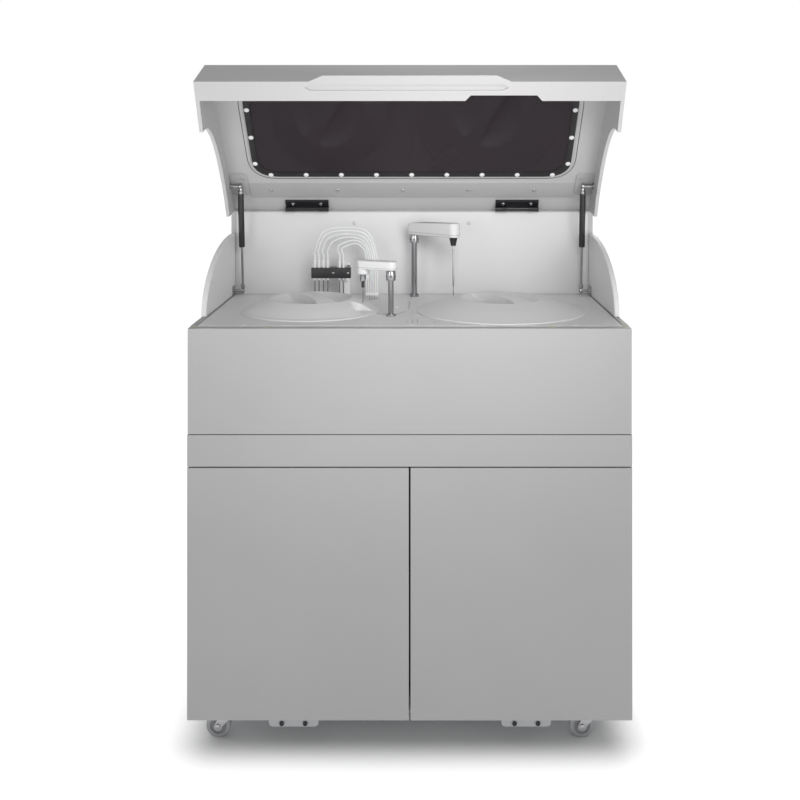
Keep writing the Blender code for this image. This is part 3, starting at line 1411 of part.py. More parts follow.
def cabinet_units():
    low = BASE_TOP + SEAT
    y = back(BOTTLE_BIG_Y)
    reach = BOTTLE_BIG_X + BOTTLE_BIG_R
    tray_front = y - BOTTLE_BIG_R
    bottles = box((-reach, tray_front, low), (reach, tray_front + 2 * BOTTLE_BIG_R, low + TRAY_T))
    for side in (-1, 1):
        profile = [
            (0, low + TRAY_T / 2),
            (BOTTLE_BIG_R - TRAY_T, low + TRAY_T / 2),
            (BOTTLE_BIG_R - TRAY_T, low + BOTTLE_BIG_H - BOTTLE_NECK_H),
            (BOTTLE_NECK_R, low + BOTTLE_BIG_H),
            (BOTTLE_NECK_R, low + BOTTLE_BIG_H + BOTTLE_NECK_H),
            (0, low + BOTTLE_BIG_H + BOTTLE_NECK_H),
        ]
        fuse(bottles, turned(profile, (side * BOTTLE_BIG_X, y, 0), ROUND_STEPS // 2))
    node("fluid_bottles", WHITE_PLASTIC, bottles)
    y = back(PUMP_Y)
    pump = box(
        (PUMP_X - PUMP_W / 2, y - PUMP_D / 2, low),
        (PUMP_X + PUMP_W / 2, y + PUMP_D / 2, low + PUMP_H),
    )
    for index in range(SYRINGES):
        x = PUMP_X + (index - (SYRINGES - 1) / 2) * SYRINGE_PITCH
        fuse(pump, post(x, y, low + PUMP_H - OVERRUN, low + PUMP_H + SYRINGE_H, SYRINGE_R))
    node("pump_unit", GREY_PLASTIC, pump)
    y = back(POWER_Y)
    supply = box(
        (POWER_X - POWER_W / 2, y - POWER_D / 2, low),
        (POWER_X + POWER_W / 2, y + POWER_D / 2, low + POWER_H),
    )
    node("power_supply", STEEL, supply)


for old in list(bpy.data.objects):
    bpy.data.objects.remove(old)

WHITE = paint("painted_white", (0.62, 0.62, 0.63), 0.45)
WHITE_PLASTIC = paint("white_plastic", (0.66, 0.66, 0.66), 0.40)
GREY_PLASTIC = paint("grey_plastic", (0.30, 0.31, 0.32), 0.50)
STEEL_PAINT = paint("frame_paint", (0.45, 0.46, 0.47), 0.50)
STEEL = paint("steel", (0.55, 0.55, 0.56), 0.28, 1.0)
BLACK = paint("black", (0.02, 0.02, 0.022), 0.40)
BLACK_RUBBER = paint("black_rubber", (0.015, 0.015, 0.016), 0.70)
RUBBER = paint("caster_tyre", (0.35, 0.36, 0.37), 0.55)
SMOKED = paint("smoked_acrylic", (0.06, 0.045, 0.05), 0.08, 0.0, 0.75)

chassis_frame()
base_plate()
panels()
doors()
foot_plates()
casters()
deck_plate()
wings()
rear_housing()
LID_PIVOT = lid()
lid_hinge_leaves()
struts(LID_PIVOT)
disc_covers()
carousels()
left_arm()
right_arm()
wash_station()
wash_tubes()
cabinet_units()
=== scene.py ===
"""Looks of the floor-standing chemistry analyzer: surfaces, finishes, light and camera over its frame."""

import json

import bmesh
import bpy
import numpy as np
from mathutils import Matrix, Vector


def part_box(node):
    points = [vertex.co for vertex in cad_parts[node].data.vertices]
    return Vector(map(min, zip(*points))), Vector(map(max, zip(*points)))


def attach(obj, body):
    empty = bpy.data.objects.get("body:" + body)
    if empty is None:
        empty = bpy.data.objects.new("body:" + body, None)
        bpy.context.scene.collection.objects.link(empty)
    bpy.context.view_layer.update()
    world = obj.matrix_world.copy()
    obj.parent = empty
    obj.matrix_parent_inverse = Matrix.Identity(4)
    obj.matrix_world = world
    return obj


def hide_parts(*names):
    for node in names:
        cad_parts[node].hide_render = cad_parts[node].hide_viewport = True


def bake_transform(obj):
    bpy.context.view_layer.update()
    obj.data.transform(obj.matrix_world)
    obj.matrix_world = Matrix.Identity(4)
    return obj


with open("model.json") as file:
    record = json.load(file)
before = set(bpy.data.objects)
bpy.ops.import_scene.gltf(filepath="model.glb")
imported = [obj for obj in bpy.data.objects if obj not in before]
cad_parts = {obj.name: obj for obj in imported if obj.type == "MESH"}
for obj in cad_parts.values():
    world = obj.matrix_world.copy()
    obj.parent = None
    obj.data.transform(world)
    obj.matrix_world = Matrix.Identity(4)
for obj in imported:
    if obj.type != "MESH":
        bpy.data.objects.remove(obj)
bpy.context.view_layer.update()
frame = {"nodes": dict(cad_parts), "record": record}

# Places shared with the frame, in metres
FRONT = -0.340
DECK = 0.868
SEAT = 0.0003
DOUBLED = 0.000002
LID_AXIS = (0.455, 0.212)
LID_OPEN = np.radians(60)
LID_FRONT = (0.0186, 0.121)
LID_REAR = (0.470, 0.235)
CABINET_FLOOR = 0.0793
CABINET_UNITS_Y = FRONT + 0.520

# Places on the deck as (x, back from the front face)
COVER_Y = 0.223
LEFT_COVER_X = -0.2238
RIGHT_COVER_X = 0.2017
LEFT_POST = (-0.0426, 0.149)
RIGHT_POST = (0.0057, 0.427)
LEFT_PROBE = (-0.1045, 0.175)
RIGHT_PROBE = (0.0984, 0.340)
WASH_Y = 0.400
STATIONS = (-0.2335, -0.2234, -0.2126, -0.2022, -0.1735, -0.1644)
TUBE_BUNDLE_X = -0.096
HINGE_X = 0.259
STRUT_X = 0.414

# Places as (back from the front face, height above the deck)
STRUT_LOW = np.array([0.440, 0.013])
STRUT_TOP = np.array([0.407, 0.270])

PANE_HALF = 0.378
SIDES = (("left", -1), ("right", 1))

BODY_OF = {node: body for body, nodes in frame["record"]["behaviour"]["bodies"].items() for node in nodes}


def at(x, back, height):
    """World place of a point x across, back behind the front face and height above the deck."""
    return np.stack(np.broadcast_arrays(x, FRONT + np.asarray(back), DECK + np.asarray(height)), axis=-1)


def unit(vectors):
    """Vectors at length 1."""
    return vectors / np.linalg.norm(vectors, axis=-1, keepdims=True)


# Surfaces on a grid

def skin(grid, closed_u=False, closed_v=False):
    """Four-sided faces between a grid's neighbouring points, joined end to end in a closed direction."""
    rows, columns = grid.shape[:2]
    index = np.arange(rows * columns).reshape(rows, columns)
    if closed_u:
        index = np.vstack([index, index[:1]])
    if closed_v:
        index = np.hstack([index, index[:, :1]])
    faces = np.stack([index[:-1, :-1], index[1:, :-1], index[1:, 1:], index[:-1, 1:]], axis=-1)
    return grid.reshape(-1, 3), faces.reshape(-1, 4).tolist()


def eased(points, radius, steps=4, closed=False):
    """Each corner c becomes the curve (1-t)^2 (c + r a) + 2 t (1-t) c + t^2 (c + r b).

    The unit steps a and b lead to its neighbours, and r is at most 0.48 of the way to the nearer one.
    """
    points = np.asarray(points, float)
    corner = points if closed else points[1:-1]
    before = (np.roll(points, 1, 0) if closed else points[:-2]) - corner
    after = (np.roll(points, -1, 0) if closed else points[2:]) - corner
    reach = np.minimum(radius, 0.48 * np.linalg.norm(before, axis=1, keepdims=True))
    reach = np.minimum(reach, 0.48 * np.linalg.norm(after, axis=1, keepdims=True))
    t = np.linspace(0, 1, steps + 1)[None, :, None]
    start = (corner + reach * unit(before))[:, None]
    finish = (corner + reach * unit(after))[:, None]
    curve = (1 - t) ** 2 * start + 2 * t * (1 - t) * corner[:, None] + t**2 * finish
    curve = curve.reshape(-1, points.shape[1])
    return curve if closed else np.concatenate([points[:1], curve, points[-1:]])


def through(points, count=60):
    """A smooth curve through points, in cubic pieces. A point's slope is half its neighbours' difference."""
    points = np.asarray(points, float)
    slope = np.gradient(points, axis=0)
    u = np.linspace(0, len(points) - 1, count)
    i = np.minimum(u.astype(int), len(points) - 2)
    t = (u - i)[:, None]
    first = (1 + 2 * t) * (1 - t) ** 2 * points[i] + t * (1 - t) ** 2 * slope[i]
    return first + t**2 * (3 - 2 * t) * points[i + 1] + t**2 * (t - 1) * slope[i + 1]


ORDER = {"Z": (0, 1, 2), "Y": (0, 2, 1), "X": (2, 0, 1)}


def lathe(profile, centre, axis="Z", steps=40, turn=0.0):
    """Profile points (r, h) carried round an axis: (r cos t, r sin t, h)."""
    r, h = np.asarray(profile, float).T
    t = turn + np.linspace(0, 2 * np.pi, steps, endpoint=False)[:, None]
    grid = np.stack([r * np.cos(t), r * np.sin(t), np.broadcast_to(h, (steps, len(h)))], axis=-1)
    return skin(grid[..., ORDER[axis]] + np.asarray(centre), closed_u=True)


def slab(outline, low, high, edge=0.0, axis="Z", steps=3):
    """An outline carried from low to high, drawn in by e (1 - sin t) at e (1 - cos t) from either end."""
    ring = np.asarray(outline, float)
    across = np.roll(ring, -1, 0) - np.roll(ring, 1, 0)
    turned = np.sum(ring[:, 0] * np.roll(ring[:, 1], -1) - np.roll(ring[:, 0], -1) * ring[:, 1])
    out = unit(np.stack([across[:, 1], -across[:, 0]], 1)) * np.sign(turned)
    t = np.linspace(0, np.pi / 2, steps + 1)
    inset = edge * (1 - np.sin(t))
    rise = edge * (1 - np.cos(t))
    inset = np.concatenate([inset, inset[::-1]])
    height = np.concatenate([low + rise, (high - rise)[::-1]])
    flat = ring[None] - out[None] * inset[:, None, None]
    deep = np.broadcast_to(height[:, None, None], flat.shape[:2] + (1,))
    grid = np.concatenate([flat, deep], axis=-1)
    points, faces = skin(grid[..., ORDER[axis]], closed_v=True)
    count = len(ring)
    last = len(points) - count
    return points, faces + [list(range(count)), list(range(last, last + count))]


def rectangle(left, right, near, far, radius=0.0, steps=4):
    """The outline of a rectangle, its corners eased."""
    corners = [(left, near), (right, near), (right, far), (left, far)]
    return eased(corners, radius, steps, closed=True) if radius else np.array(corners, float)


def block(low, high, corner=0.001, edge=0.0006, axis="Z"):
    """A block between two corners, its upright corners and its rims eased."""
    first, second, third = {"Z": (0, 1, 2), "Y": (0, 2, 1), "X": (1, 2, 0)}[axis]
    outline = rectangle(low[first], high[first], low[second], high[second], corner)
    return slab(outline, low[third], high[third], edge, axis)


def pipe(path, radius, across=(0, 1, 0), steps=12):
    """A ring of radius r(s) carried along a path, square to the path's own direction, with closed ends."""
    path = np.asarray(path, float)
    ahead = unit(np.gradient(path, axis=0))
    side = unit(np.cross(ahead, across))
    over = np.cross(side, ahead)
    t = np.linspace(0, 2 * np.pi, steps, endpoint=False)[None, :, None]
    reach = np.broadcast_to(radius, len(path))[:, None, None]
    ring = path[:, None] + reach * (side[:, None] * np.cos(t) + over[:, None] * np.sin(t))
    first = np.broadcast_to(path[0], (1, steps, 3))
    last = np.broadcast_to(path[-1], (1, steps, 3))
    return skin(np.concatenate([first, ring, last]), closed_v=True)


def screw(centre, radius, height, facing=(0, 0, 1)):
    """A button head: radius s / cos(((t + 30) mod 60) - 30) in its hex socket, and round outside."""
    t = np.linspace(0, 2 * np.pi, 24, endpoint=False)[:, None]
    flat = 1 / np.cos((t + np.pi / 6) % (np.pi / 3) - np.pi / 6)
    sides = radius * np.concatenate([0 * flat, 0.42 * flat, 0.42 * flat, 0.50 * flat], axis=1)
    dome = radius * np.array([0.62, 0.80, 0.93, 1.0, 1.0, 0.0]) * np.ones_like(t)
    r = np.concatenate([sides, dome], axis=1)
    h = height * np.array([0.35, 0.35, 0.96, 1.0, 1.0, 0.88, 0.62, 0.25, 0.0, 0.0]) * np.ones_like(t)
    away = unit(np.asarray(facing, float))
    side = unit(np.cross(away, (0.31, 0.17, 0.93) if abs(away[2]) < 0.9 else (0, 1, 0)))
    over = np.cross(away, side)
    r, h = r[..., None], h[..., None]
    grid = centre + r * np.cos(t)[..., None] * side + r * np.sin(t)[..., None] * over + h * away
    return skin(grid, closed_u=True)


def shut_to_open(points):
    """Points of the shut lid turned 60 degrees open about the hinge: y cos a + z sin a, z cos a - y sin a."""
    points = np.asarray(points, float)
    y = points[..., 1] - FRONT - LID_AXIS[0]
    z = points[..., 2] - DECK - LID_AXIS[1]
    c, s = np.cos(LID_OPEN), np.sin(LID_OPEN)
    return at(points[..., 0], LID_AXIS[0] + y * c + z * s, LID_AXIS[1] + z * c - y * s)


def on_lid(shape):
    """A shape drawn as (x, distance along the lid's top, depth inward), put on the open lid."""
    points, faces = shape
    run, rise = LID_REAR[0] - LID_FRONT[0], LID_REAR[1] - LID_FRONT[1]
    c, s = np.array([run, rise]) / np.hypot(run, rise)
    x, along, depth = points.T
    shut = at(x, LID_FRONT[0] + along * c + depth * s, LID_FRONT[1] + along * s - depth * c)
    return shut_to_open(shut), faces


def moved(shape, offset):
    """A shape shifted by an offset."""
    points, faces = shape
    return points + offset, faces


# Pieces from surfaces

def place_in_scene(name, mesh, material, body, stands_for):
    """An object at the origin: its material, the body it rides and the CAD nodes it stands for."""
    mesh.materials.clear()
    mesh.materials.append(material)
    piece = bpy.data.objects.new(name, mesh)
    bpy.context.collection.objects.link(piece)
    if body:
        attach(piece, body)
    if stands_for:
        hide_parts(*stands_for)
    return piece


def shaded(mesh, angle):
    """Merges doubled points, drops faces with no area, turns faces out and smooths them below an angle."""
    bm = bmesh.new()
    bm.from_mesh(mesh)
    bmesh.ops.remove_doubles(bm, verts=bm.verts, dist=DOUBLED)
    bmesh.ops.dissolve_degenerate(bm, edges=bm.edges, dist=DOUBLED)
    bmesh.ops.recalc_face_normals(bm, faces=bm.faces)
    bm.to_mesh(mesh)
    bm.free()
    mesh.shade_smooth()
    mesh.set_sharp_from_angle(angle=np.radians(angle))


def make(name, shapes, material, body, stands_for=(), angle=35):
    """One piece from several surfaces."""
    counts = np.cumsum([0] + [len(points) for points, _ in shapes])
    points = np.concatenate([points for points, _ in shapes])
    faces = [[corner + first for corner in face] for first, (_, fs) in zip(counts, shapes) for face in fs]
    mesh = bpy.data.meshes.new(name)
    mesh.from_pydata(points.tolist(), [], faces)
    shaded(mesh, angle)
    return place_in_scene(name, mesh, material, body, stands_for)


def eased_copy(node, material, width, segments=2, angle=30, name=None):
    """A frame solid with its edges rounded: its own surface, merged, with a bevel of the given width."""
    mesh = frame["nodes"][node].data.copy()
    stored = mesh.attributes.get("custom_normal")
    if stored:
        mesh.attributes.remove(stored)
    shaded(mesh, angle)
    bm = bmesh.new()
    bm.from_mesh(mesh)
    flat = [edge for edge in bm.edges if edge.calc_face_angle(0) < 0.001]
    bmesh.ops.dissolve_edges(bm, edges=flat, use_verts=True)
    bm.to_mesh(mesh)
    bm.free()
    piece = place_in_scene(name or node + "_finish", mesh, material, BODY_OF[node], [node])
    bevel = piece.modifiers.new("edges", "BEVEL")
    bevel.width = width
    bevel.segments = segments
    bevel.limit_method = "ANGLE"
    bevel.angle_limit = np.radians(angle)
    bevel.harden_normals = True
    return piece


def coat(node, material):
    """A finish put on a frame solid that is shown as it is."""
    for slot in frame["nodes"][node].material_slots:
        slot.material = material


# Finishes

def finish(name, color, shade, roughness, grain, bump, metallic=0.0, cloud=3.0, stretch=(1, 1, 1), **sockets):
    """A surface with clouded colour, speckled gloss and a fine grain that stands out by bump metres."""
    material = bpy.data.materials.new(name)
    material.use_nodes = True
    nodes, links = material.node_tree.nodes, material.node_tree.links
    shader = nodes["Principled BSDF"]
    coords = nodes.new("ShaderNodeTexCoord")
    mapping = nodes.new("ShaderNodeMapping")
    mapping.inputs["Scale"].default_value = stretch
    links.new(coords.outputs["Object"], mapping.inputs["Vector"])
    clouds = nodes.new("ShaderNodeTexNoise")
    clouds.inputs["Scale"].default_value = cloud
    clouds.inputs["Detail"].default_value = 3
    fine = nodes.new("ShaderNodeTexNoise")
    fine.inputs["Scale"].default_value = grain
    fine.inputs["Detail"].default_value = 4
    for texture in (clouds, fine):
        links.new(mapping.outputs["Vector"], texture.inputs["Vector"])
    ramp = nodes.new("ShaderNodeValToRGB")
    ramp.color_ramp.elements[0].position = 0.3
    ramp.color_ramp.elements[1].position = 0.7
    ramp.color_ramp.elements[0].color = (*shade, 1)
    ramp.color_ramp.elements[1].color = (*color, 1)
    links.new(clouds.outputs["Fac"], ramp.inputs["Fac"])
    links.new(ramp.outputs["Color"], shader.inputs["Base Color"])
    gloss = nodes.new("ShaderNodeMapRange")
    gloss.inputs["To Min"].default_value = roughness[0]
    gloss.inputs["To Max"].default_value = roughness[1]
    links.new(fine.outputs["Fac"], gloss.inputs["Value"])
    links.new(gloss.outputs["Result"], shader.inputs["Roughness"])
    relief = nodes.new("ShaderNodeBump")
    relief.inputs["Distance"].default_value = bump
    relief.inputs["Strength"].default_value = 0.6
    links.new(fine.outputs["Fac"], relief.inputs["Height"])
    links.new(relief.outputs["Normal"], shader.inputs["Normal"])
    shader.inputs["Metallic"].default_value = metallic
    for socket, value in sockets.items():
        shader.inputs[socket.replace("_", " ")].default_value = value
    return material


POWDER_COAT = finish("powder_coat", (0.435, 0.433, 0.436), (0.415, 0.413, 0.416), (0.38, 0.52), 900, 0.00012)
# The back wall's coat is the cabinet's powder coat made lighter: painted light standing in for light reaching
# the back of the deck.
WALL_COAT_PAINTED_LIGHT = finish("wall_coat_painted_light", (0.68, 0.68, 0.68), (0.655, 0.655, 0.655), (0.36, 0.50), 900, 0.00010)
INNER_SHELL = finish("inner_shell", (0.80, 0.795, 0.795), (0.77, 0.765, 0.765), (0.34, 0.46), 1400, 0.00006)
# The deck's coat is the cabinet's powder coat made lighter: painted light standing in for light falling into
# the cavity.
DECK_COAT_PAINTED_LIGHT = finish("deck_coat_painted_light", (0.74, 0.735, 0.74), (0.71, 0.705, 0.71), (0.36, 0.50), 900, 0.00010)
FAINT_LINE = finish("faint_line", (0.36, 0.36, 0.365), (0.33, 0.33, 0.335), (0.5, 0.7), 900, 0.00005)
MOULDED = finish("moulded_shell", (0.53, 0.525, 0.525), (0.505, 0.50, 0.50), (0.34, 0.46), 1400, 0.00006)
COVER_PLASTIC = finish("cover_plastic", (0.70, 0.70, 0.70), (0.675, 0.675, 0.68), (0.32, 0.44), 1600, 0.00005)
CLEAN_WHITE = finish("clean_white", (0.82, 0.82, 0.82), (0.78, 0.78, 0.78), (0.25, 0.38), 1200, 0.00004)
DARK_GREY = finish("dark_grey", (0.20, 0.205, 0.21), (0.16, 0.165, 0.17), (0.40, 0.55), 900, 0.00008)
GREY_PLASTIC = finish("grey_plastic", (0.34, 0.35, 0.36), (0.30, 0.31, 0.32), (0.38, 0.50), 1100, 0.00006)
FRAME_COAT = finish("frame_coat", (0.47, 0.48, 0.49), (0.43, 0.44, 0.45), (0.42, 0.56), 700, 0.00014)
STEEL = finish("polished_steel", (0.44, 0.44, 0.45), (0.36, 0.36, 0.37), (0.12, 0.24), 500, 0.00002, 1.0)
BRUSHED = finish(
    "brushed_steel", (0.60, 0.60, 0.61), (0.50, 0.50, 0.51), (0.24, 0.38), 260, 0.00004, 1.0, 6, (1, 1, 14)
)
BLACK_COAT = finish("black_coat", (0.022, 0.022, 0.024), (0.014, 0.014, 0.016), (0.22, 0.36), 900, 0.00008)
BLACK_PLASTIC = finish(
    "black_plastic", (0.024, 0.024, 0.026), (0.016, 0.016, 0.018), (0.34, 0.5), 1100, 0.00006
)
GASKET = finish("rubber_gasket", (0.020, 0.019, 0.020), (0.013, 0.013, 0.014), (0.50, 0.66), 1300, 0.0001)
TYRE = finish("caster_tyre", (0.42, 0.43, 0.44), (0.36, 0.37, 0.38), (0.45, 0.60), 800, 0.0001)
TUBING = finish(
    "soft_tubing", (0.86, 0.86, 0.85), (0.80, 0.80, 0.79), (0.22, 0.34), 600, 0.00003, Subsurface_Weight=0.15
)
SMOKED = finish(
    "smoked_acrylic", (0.030, 0.021, 0.026), (0.024, 0.018, 0.022), (0.05, 0.10), 300, 0.00001, Alpha=0.965
)
SHADOW_GAP = finish("shadow_gap", (0.09, 0.09, 0.095), (0.07, 0.07, 0.075), (0.6, 0.8), 900, 0.00005)
PALE_RUBBER = finish("pale_rubber", (0.60, 0.57, 0.40), (0.55, 0.52, 0.36), (0.5, 0.65), 900, 0.00008)
BOTTLE_PLASTIC = finish(
    "bottle_plastic", (0.74, 0.75, 0.75), (0.70, 0.71, 0.72), (0.28, 0.40), 500, 0.00008,
    Subsurface_Weight=0.1,
)


# Cabinet: panels, doors, frame and floor

def cabinet():
    """The panels, doors, frame, wings, rear housing and deck plate."""
    for node in ("front_upper_panel", "front_band", "left_door", "right_door"):
        eased_copy(node, POWDER_COAT, 0.0008)
    for node in ("left_side_panel", "right_side_panel", "rear_panel"):
        eased_copy(node, POWDER_COAT, 0.0007)
    low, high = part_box("back_wall")
    wall = block(low, high, 0.0004, 0.0004)
    # The back wall takes the lightened copy of the powder coat: painted light.
    make("back_wall_sheet", [wall], WALL_COAT_PAINTED_LIGHT, "root", ["back_wall"])
    for node in ("chassis_frame", "base_plate", "left_foot_plate", "right_foot_plate"):
        eased_copy(node, FRAME_COAT, 0.0008)
    for node in ("left_door_pivot", "right_door_pivot"):
        coat(node, BRUSHED)
    for node in ("left_wing", "right_wing"):
        eased_copy(node, INNER_SHELL, 0.0030, 4)
    coat("rear_housing", MOULDED)
    # The deck plate takes the lightened copy of the powder coat: painted light.
    eased_copy("deck_plate", DECK_COAT_PAINTED_LIGHT, 0.0005)


def front_seams():
    """Dark strips behind the two open joints of the front, painted shade in the gaps."""
    low = 0.5861
    # Near-black strips standing for the shade inside the joints: painted shade.
    strips = [
        block((-0.440, FRONT + 0.024, 0.6515), (0.440, FRONT + 0.0300, 0.6535), 0.0004, 0.0003),
        block((-0.440, FRONT + 0.024, low + 0.0004), (0.440, FRONT + 0.0262, low + 0.0022), 0.0004, 0.0003),
    ]
    make("front_joint_painted_shade", strips, SHADOW_GAP, "root")


def foot_screws():
    """Two black screws on each foot plate."""
    places = [side * 0.2385 + offset for side in (-1, 1) for offset in (-0.024, 0.024)]
    heads = [screw((x, FRONT + 0.0288, 0.0533), 0.0050, 0.0026, (0, -1, 0)) for x in places]
    make("foot_plate_screws", heads, BLACK_COAT, "root")


# Casters

def casters():
    """Tyre, hub and axle bolt of each caster, turned about y, and its fork."""
    tread = eased([(0.0170, -0.0086), (0.0252, -0.0086), (0.0252, 0.0086), (0.0170, 0.0086)], 0.0026, 5)
    tyre = np.concatenate([tread, tread[:1]])
    hub = eased(
        [(0.0, -0.0070), (0.0085, -0.0070), (0.0095, -0.0045), (0.0168, -0.0060), (0.0172, -0.0060),
         (0.0172, 0.0060), (0.0168, 0.0060), (0.0095, 0.0045), (0.0085, 0.0070), (0.0, 0.0070)], 0.0012, 2)
    bolt = eased(
        [(0.0, -0.0155), (0.0052, -0.0155), (0.0052, -0.0128), (0.0030, -0.0128), (0.0030, 0.0128),
         (0.0052, 0.0128), (0.0052, 0.0155), (0.0, 0.0155)], 0.0006, 2)
    for name, x, y in (
        ("front_left", -0.380, 0.080),
        ("front_right", 0.380, 0.080),
        ("rear_left", -0.380, 0.600),
        ("rear_right", 0.380, 0.600),
    ):
        centre = (x - 0.021, FRONT + y, 0.0252)
        wheel = name + "_caster_wheel"
        body = BODY_OF[wheel]
        make(name + "_caster_tyre", [lathe(tyre, centre, "Y", 64)], TYRE, body, [wheel])
        make(name + "_caster_hub", [lathe(hub, centre, "Y", 48)], GREY_PLASTIC, body)
        make(name + "_caster_bolt", [lathe(bolt, centre, "Y", 6)], BRUSHED, body)
        eased_copy(name + "_caster_fork", BRUSHED, 0.0006)


# Deck details

def smooth(low, high, value):
    """0 below low, 1 above high and 3 s^2 - 2 s^3 between."""
    s = np.clip((value - low) / (high - low), 0, 1)
    return s * s * (3 - 2 * s)


def cover_section(radius):
    """Half a cover's outer side as (r, h): finger dish, crest, two slopes of cone and a rounded rim."""
    knee = 0.092 + (radius - 0.008 - 0.092) * 0.52
    knee_h = 0.0045 + 0.0250 * 0.56
    points = [
        (0.0, 0.0143), (0.060, 0.0143), (0.0885, 0.0285), (0.0925, 0.0295), (knee, knee_h),
        (radius - 0.008, 0.0052),
    ]
    slope = eased(points, 0.009, 8)
    t = np.linspace(0, np.pi / 2, 9)
    bead = np.stack([radius - 0.0032 + 0.0032 * np.sin(t), 0.0006 + 0.0032 * np.cos(t)], 1)
    return np.concatenate([slope, bead])


def finger_bar(x):
    """The bar over the dish. Along u its top arches as 1 - (u / l)^2 and its half width grows as |u|^2.6."""
    reach = 0.094
    u = np.linspace(-reach, reach, 61)[:, None]
    half = 0.0142 + 0.0130 * np.abs(u / reach) ** 2.6
    top = 0.0286 + 0.0100 * (1 - (u / reach) ** 2)
    t = np.linspace(0, np.pi / 2, 6)[None]
    edge = 0.0022
    side = half - edge + edge * np.cos(t)
    rise = top - edge + edge * np.sin(t) - 0.0006
    foot = np.full_like(half, 0.0130)
    v = np.concatenate([-half, -side, 0 * half, side[:, ::-1], half], axis=1)
    h = np.concatenate([foot, rise, top + 0.0001, rise[:, ::-1], foot], axis=1)
    turn = np.radians(-60)
    across, back = u * np.cos(turn) - v * np.sin(turn), u * np.sin(turn) + v * np.cos(turn)
    grid = at(x + across, COVER_Y + back, h)
    points, faces = skin(grid, closed_v=True)
    columns = grid.shape[1]
    last = len(points) - columns
    return points, faces + [list(range(columns)), list(range(last, last + columns))]


def disc_cover(name, x, radius, port=None):
    """A height over rings (r, t): the section's h(r), lowered to a floor inside a long scoop at the port."""
    section = cover_section(radius)
    reach, rise = section.T
    extra = np.linspace(0.090, radius - 0.004, 100 if port else 24)
    r = np.unique(np.concatenate([reach, extra]))
    heights = np.interp(r, reach, rise)
    if port:
        toward = np.arctan2(port[1] - COVER_Y, port[0] - x)
        near = toward + np.radians(np.linspace(-26, 26, 220))
        far = toward + np.radians(np.linspace(26, 334, 200)[1:-1])
        t = np.concatenate([near, far])
    else:
        t = np.linspace(0, 2 * np.pi, 192, endpoint=False)
    r, t = np.meshgrid(r, t)
    height = np.broadcast_to(heights, r.shape).copy()
    across, back = x + r * np.cos(t), COVER_Y + r * np.sin(t)
    if port:
        run = np.array([0.0391, -0.0100])
        run = run / np.hypot(*run)
        along = np.clip((across - port[0]) * run[0] + (back - port[1]) * run[1], 0, None)
        gap = np.hypot(across - port[0] - along * run[0], back - port[1] - along * run[1])
        cut = smooth(-0.0030, 0.0022, port[2] - gap)
        height = np.where(height > 0.0050, height * (1 - cut) + 0.0050 * cut, height)
    top = at(across, back, height)
    skirt = at(across[:, -1:], back[:, -1:], SEAT)
    shrink = (radius - 0.0028) / radius
    under_h = np.clip(height[:, ::-1] - 0.0030, SEAT, None)
    under_x = x + (across[:, ::-1] - x) * shrink
    under_y = COVER_Y + (back[:, ::-1] - COVER_Y) * shrink
    under = at(under_x, under_y, under_h)
    grid = np.concatenate([top, skirt, under], axis=1)
    shapes = [skin(grid, closed_u=True), finger_bar(x)]
    return make(name + "_moulding", shapes, COVER_PLASTIC, name, [name], 50)


def groove(start, end, width):
    """A faint line on the deck from start to end, thinned at both ends."""
    path = at(np.linspace(start[0], end[0], 8), np.linspace(start[1], end[1], 8), 0.0003)
    return pipe(path, np.r_[0.2, np.ones(6), 0.2] * width / 2, (0, 0, 1), 8)


def deck_details():
    """Plugs, dots, lines, rubber bumpers, front trim and post flanges on the deck."""
    dome = eased([(0, 0.0011), (0.0062, 0.0011), (0.0070, 0.0004), (0.0070, SEAT), (0, SEAT)], 0.0006, 2)
    plugs = [
        (-0.4186, 0.1287), (-0.3401, 0.0398), (-0.4146, 0.408), (-0.0914, 0.0375), (0.0033, 0.0375),
        (0.0133, 0.1489), (0.4096, 0.0572), (0.3413, 0.0375), (0.4150, 0.402), (-0.0331, 0.2643),
    ]
    domes = [lathe(dome, at(x, y, 0), steps=28) for x, y in plugs]
    make("deck_plugs", domes, CLEAN_WHITE, "root")
    dot = [(0, 0.0007), (0.0016, 0.0007), (0.0020, 0.0003), (0, 0.0003)]
    dots = [lathe(dot, at(x, y, 0), steps=16) for x, y in ((0.0508, 0.0714), (-0.0076, 0.075))]
    grooves = [groove(*ends) for ends in (
        ((-0.0818, 0.1905), (-0.0550, 0.163), 0.0012),
        ((-0.0362, 0.163), (-0.0108, 0.2079), 0.0012),
        ((-0.0049, 0.235), (-0.0049, 0.363), 0.0016),
        ((0.0050, 0.058), (0.0050, 0.108), 0.0012),
        ((0.0155, 0.058), (0.0155, 0.108), 0.0012),
    )]
    make("deck_marks", dots + grooves, FAINT_LINE, "root")
    bumper = eased([(0, 0.0012), (0.0042, 0.0012), (0.0052, 0.0006), (0.0052, 0.0), (0, 0.0)], 0.0003, 3)
    spots = [(-0.438, 0.018), (-0.2909, 0.017), (0.2887, 0.017), (0.438, 0.018)]
    make("lid_bumpers", [lathe(bumper, at(x, y, 0), steps=24) for x, y in spots], PALE_RUBBER, "root")
    rail = slab(rectangle(-0.436, 0.436, FRONT + 0.0236, FRONT + 0.0300, 0.001), DECK, DECK + 0.0010, 0.0004)
    make("deck_front_trim", [rail], CLEAN_WHITE, "root")
    flanges = []
    for post, bore, outer, height in (
        (LEFT_POST, 0.0066, 0.0114, 0.0044),
        (RIGHT_POST, 0.0076, 0.0109, 0.0074),
    ):
        ring = [(bore, 0.0), (outer, 0.0), (outer, height), (bore, height)]
        flanges.append(lathe(eased(ring + ring[:1], 0.0008, 3), at(*post, SEAT), steps=48))
    make("post_flanges", flanges, STEEL, "root")


def wall_details():
    """Two screws on the back wall."""
    heads = [screw(at(x, 0.470 - SEAT, 0.205 - 0.029), 0.0042, 0.0016, (0, -1, 0)) for x in (-0.1430, 0.1398)]
    make("back_wall_screws", heads, BRUSHED, "root")


# Posts, arms and probes

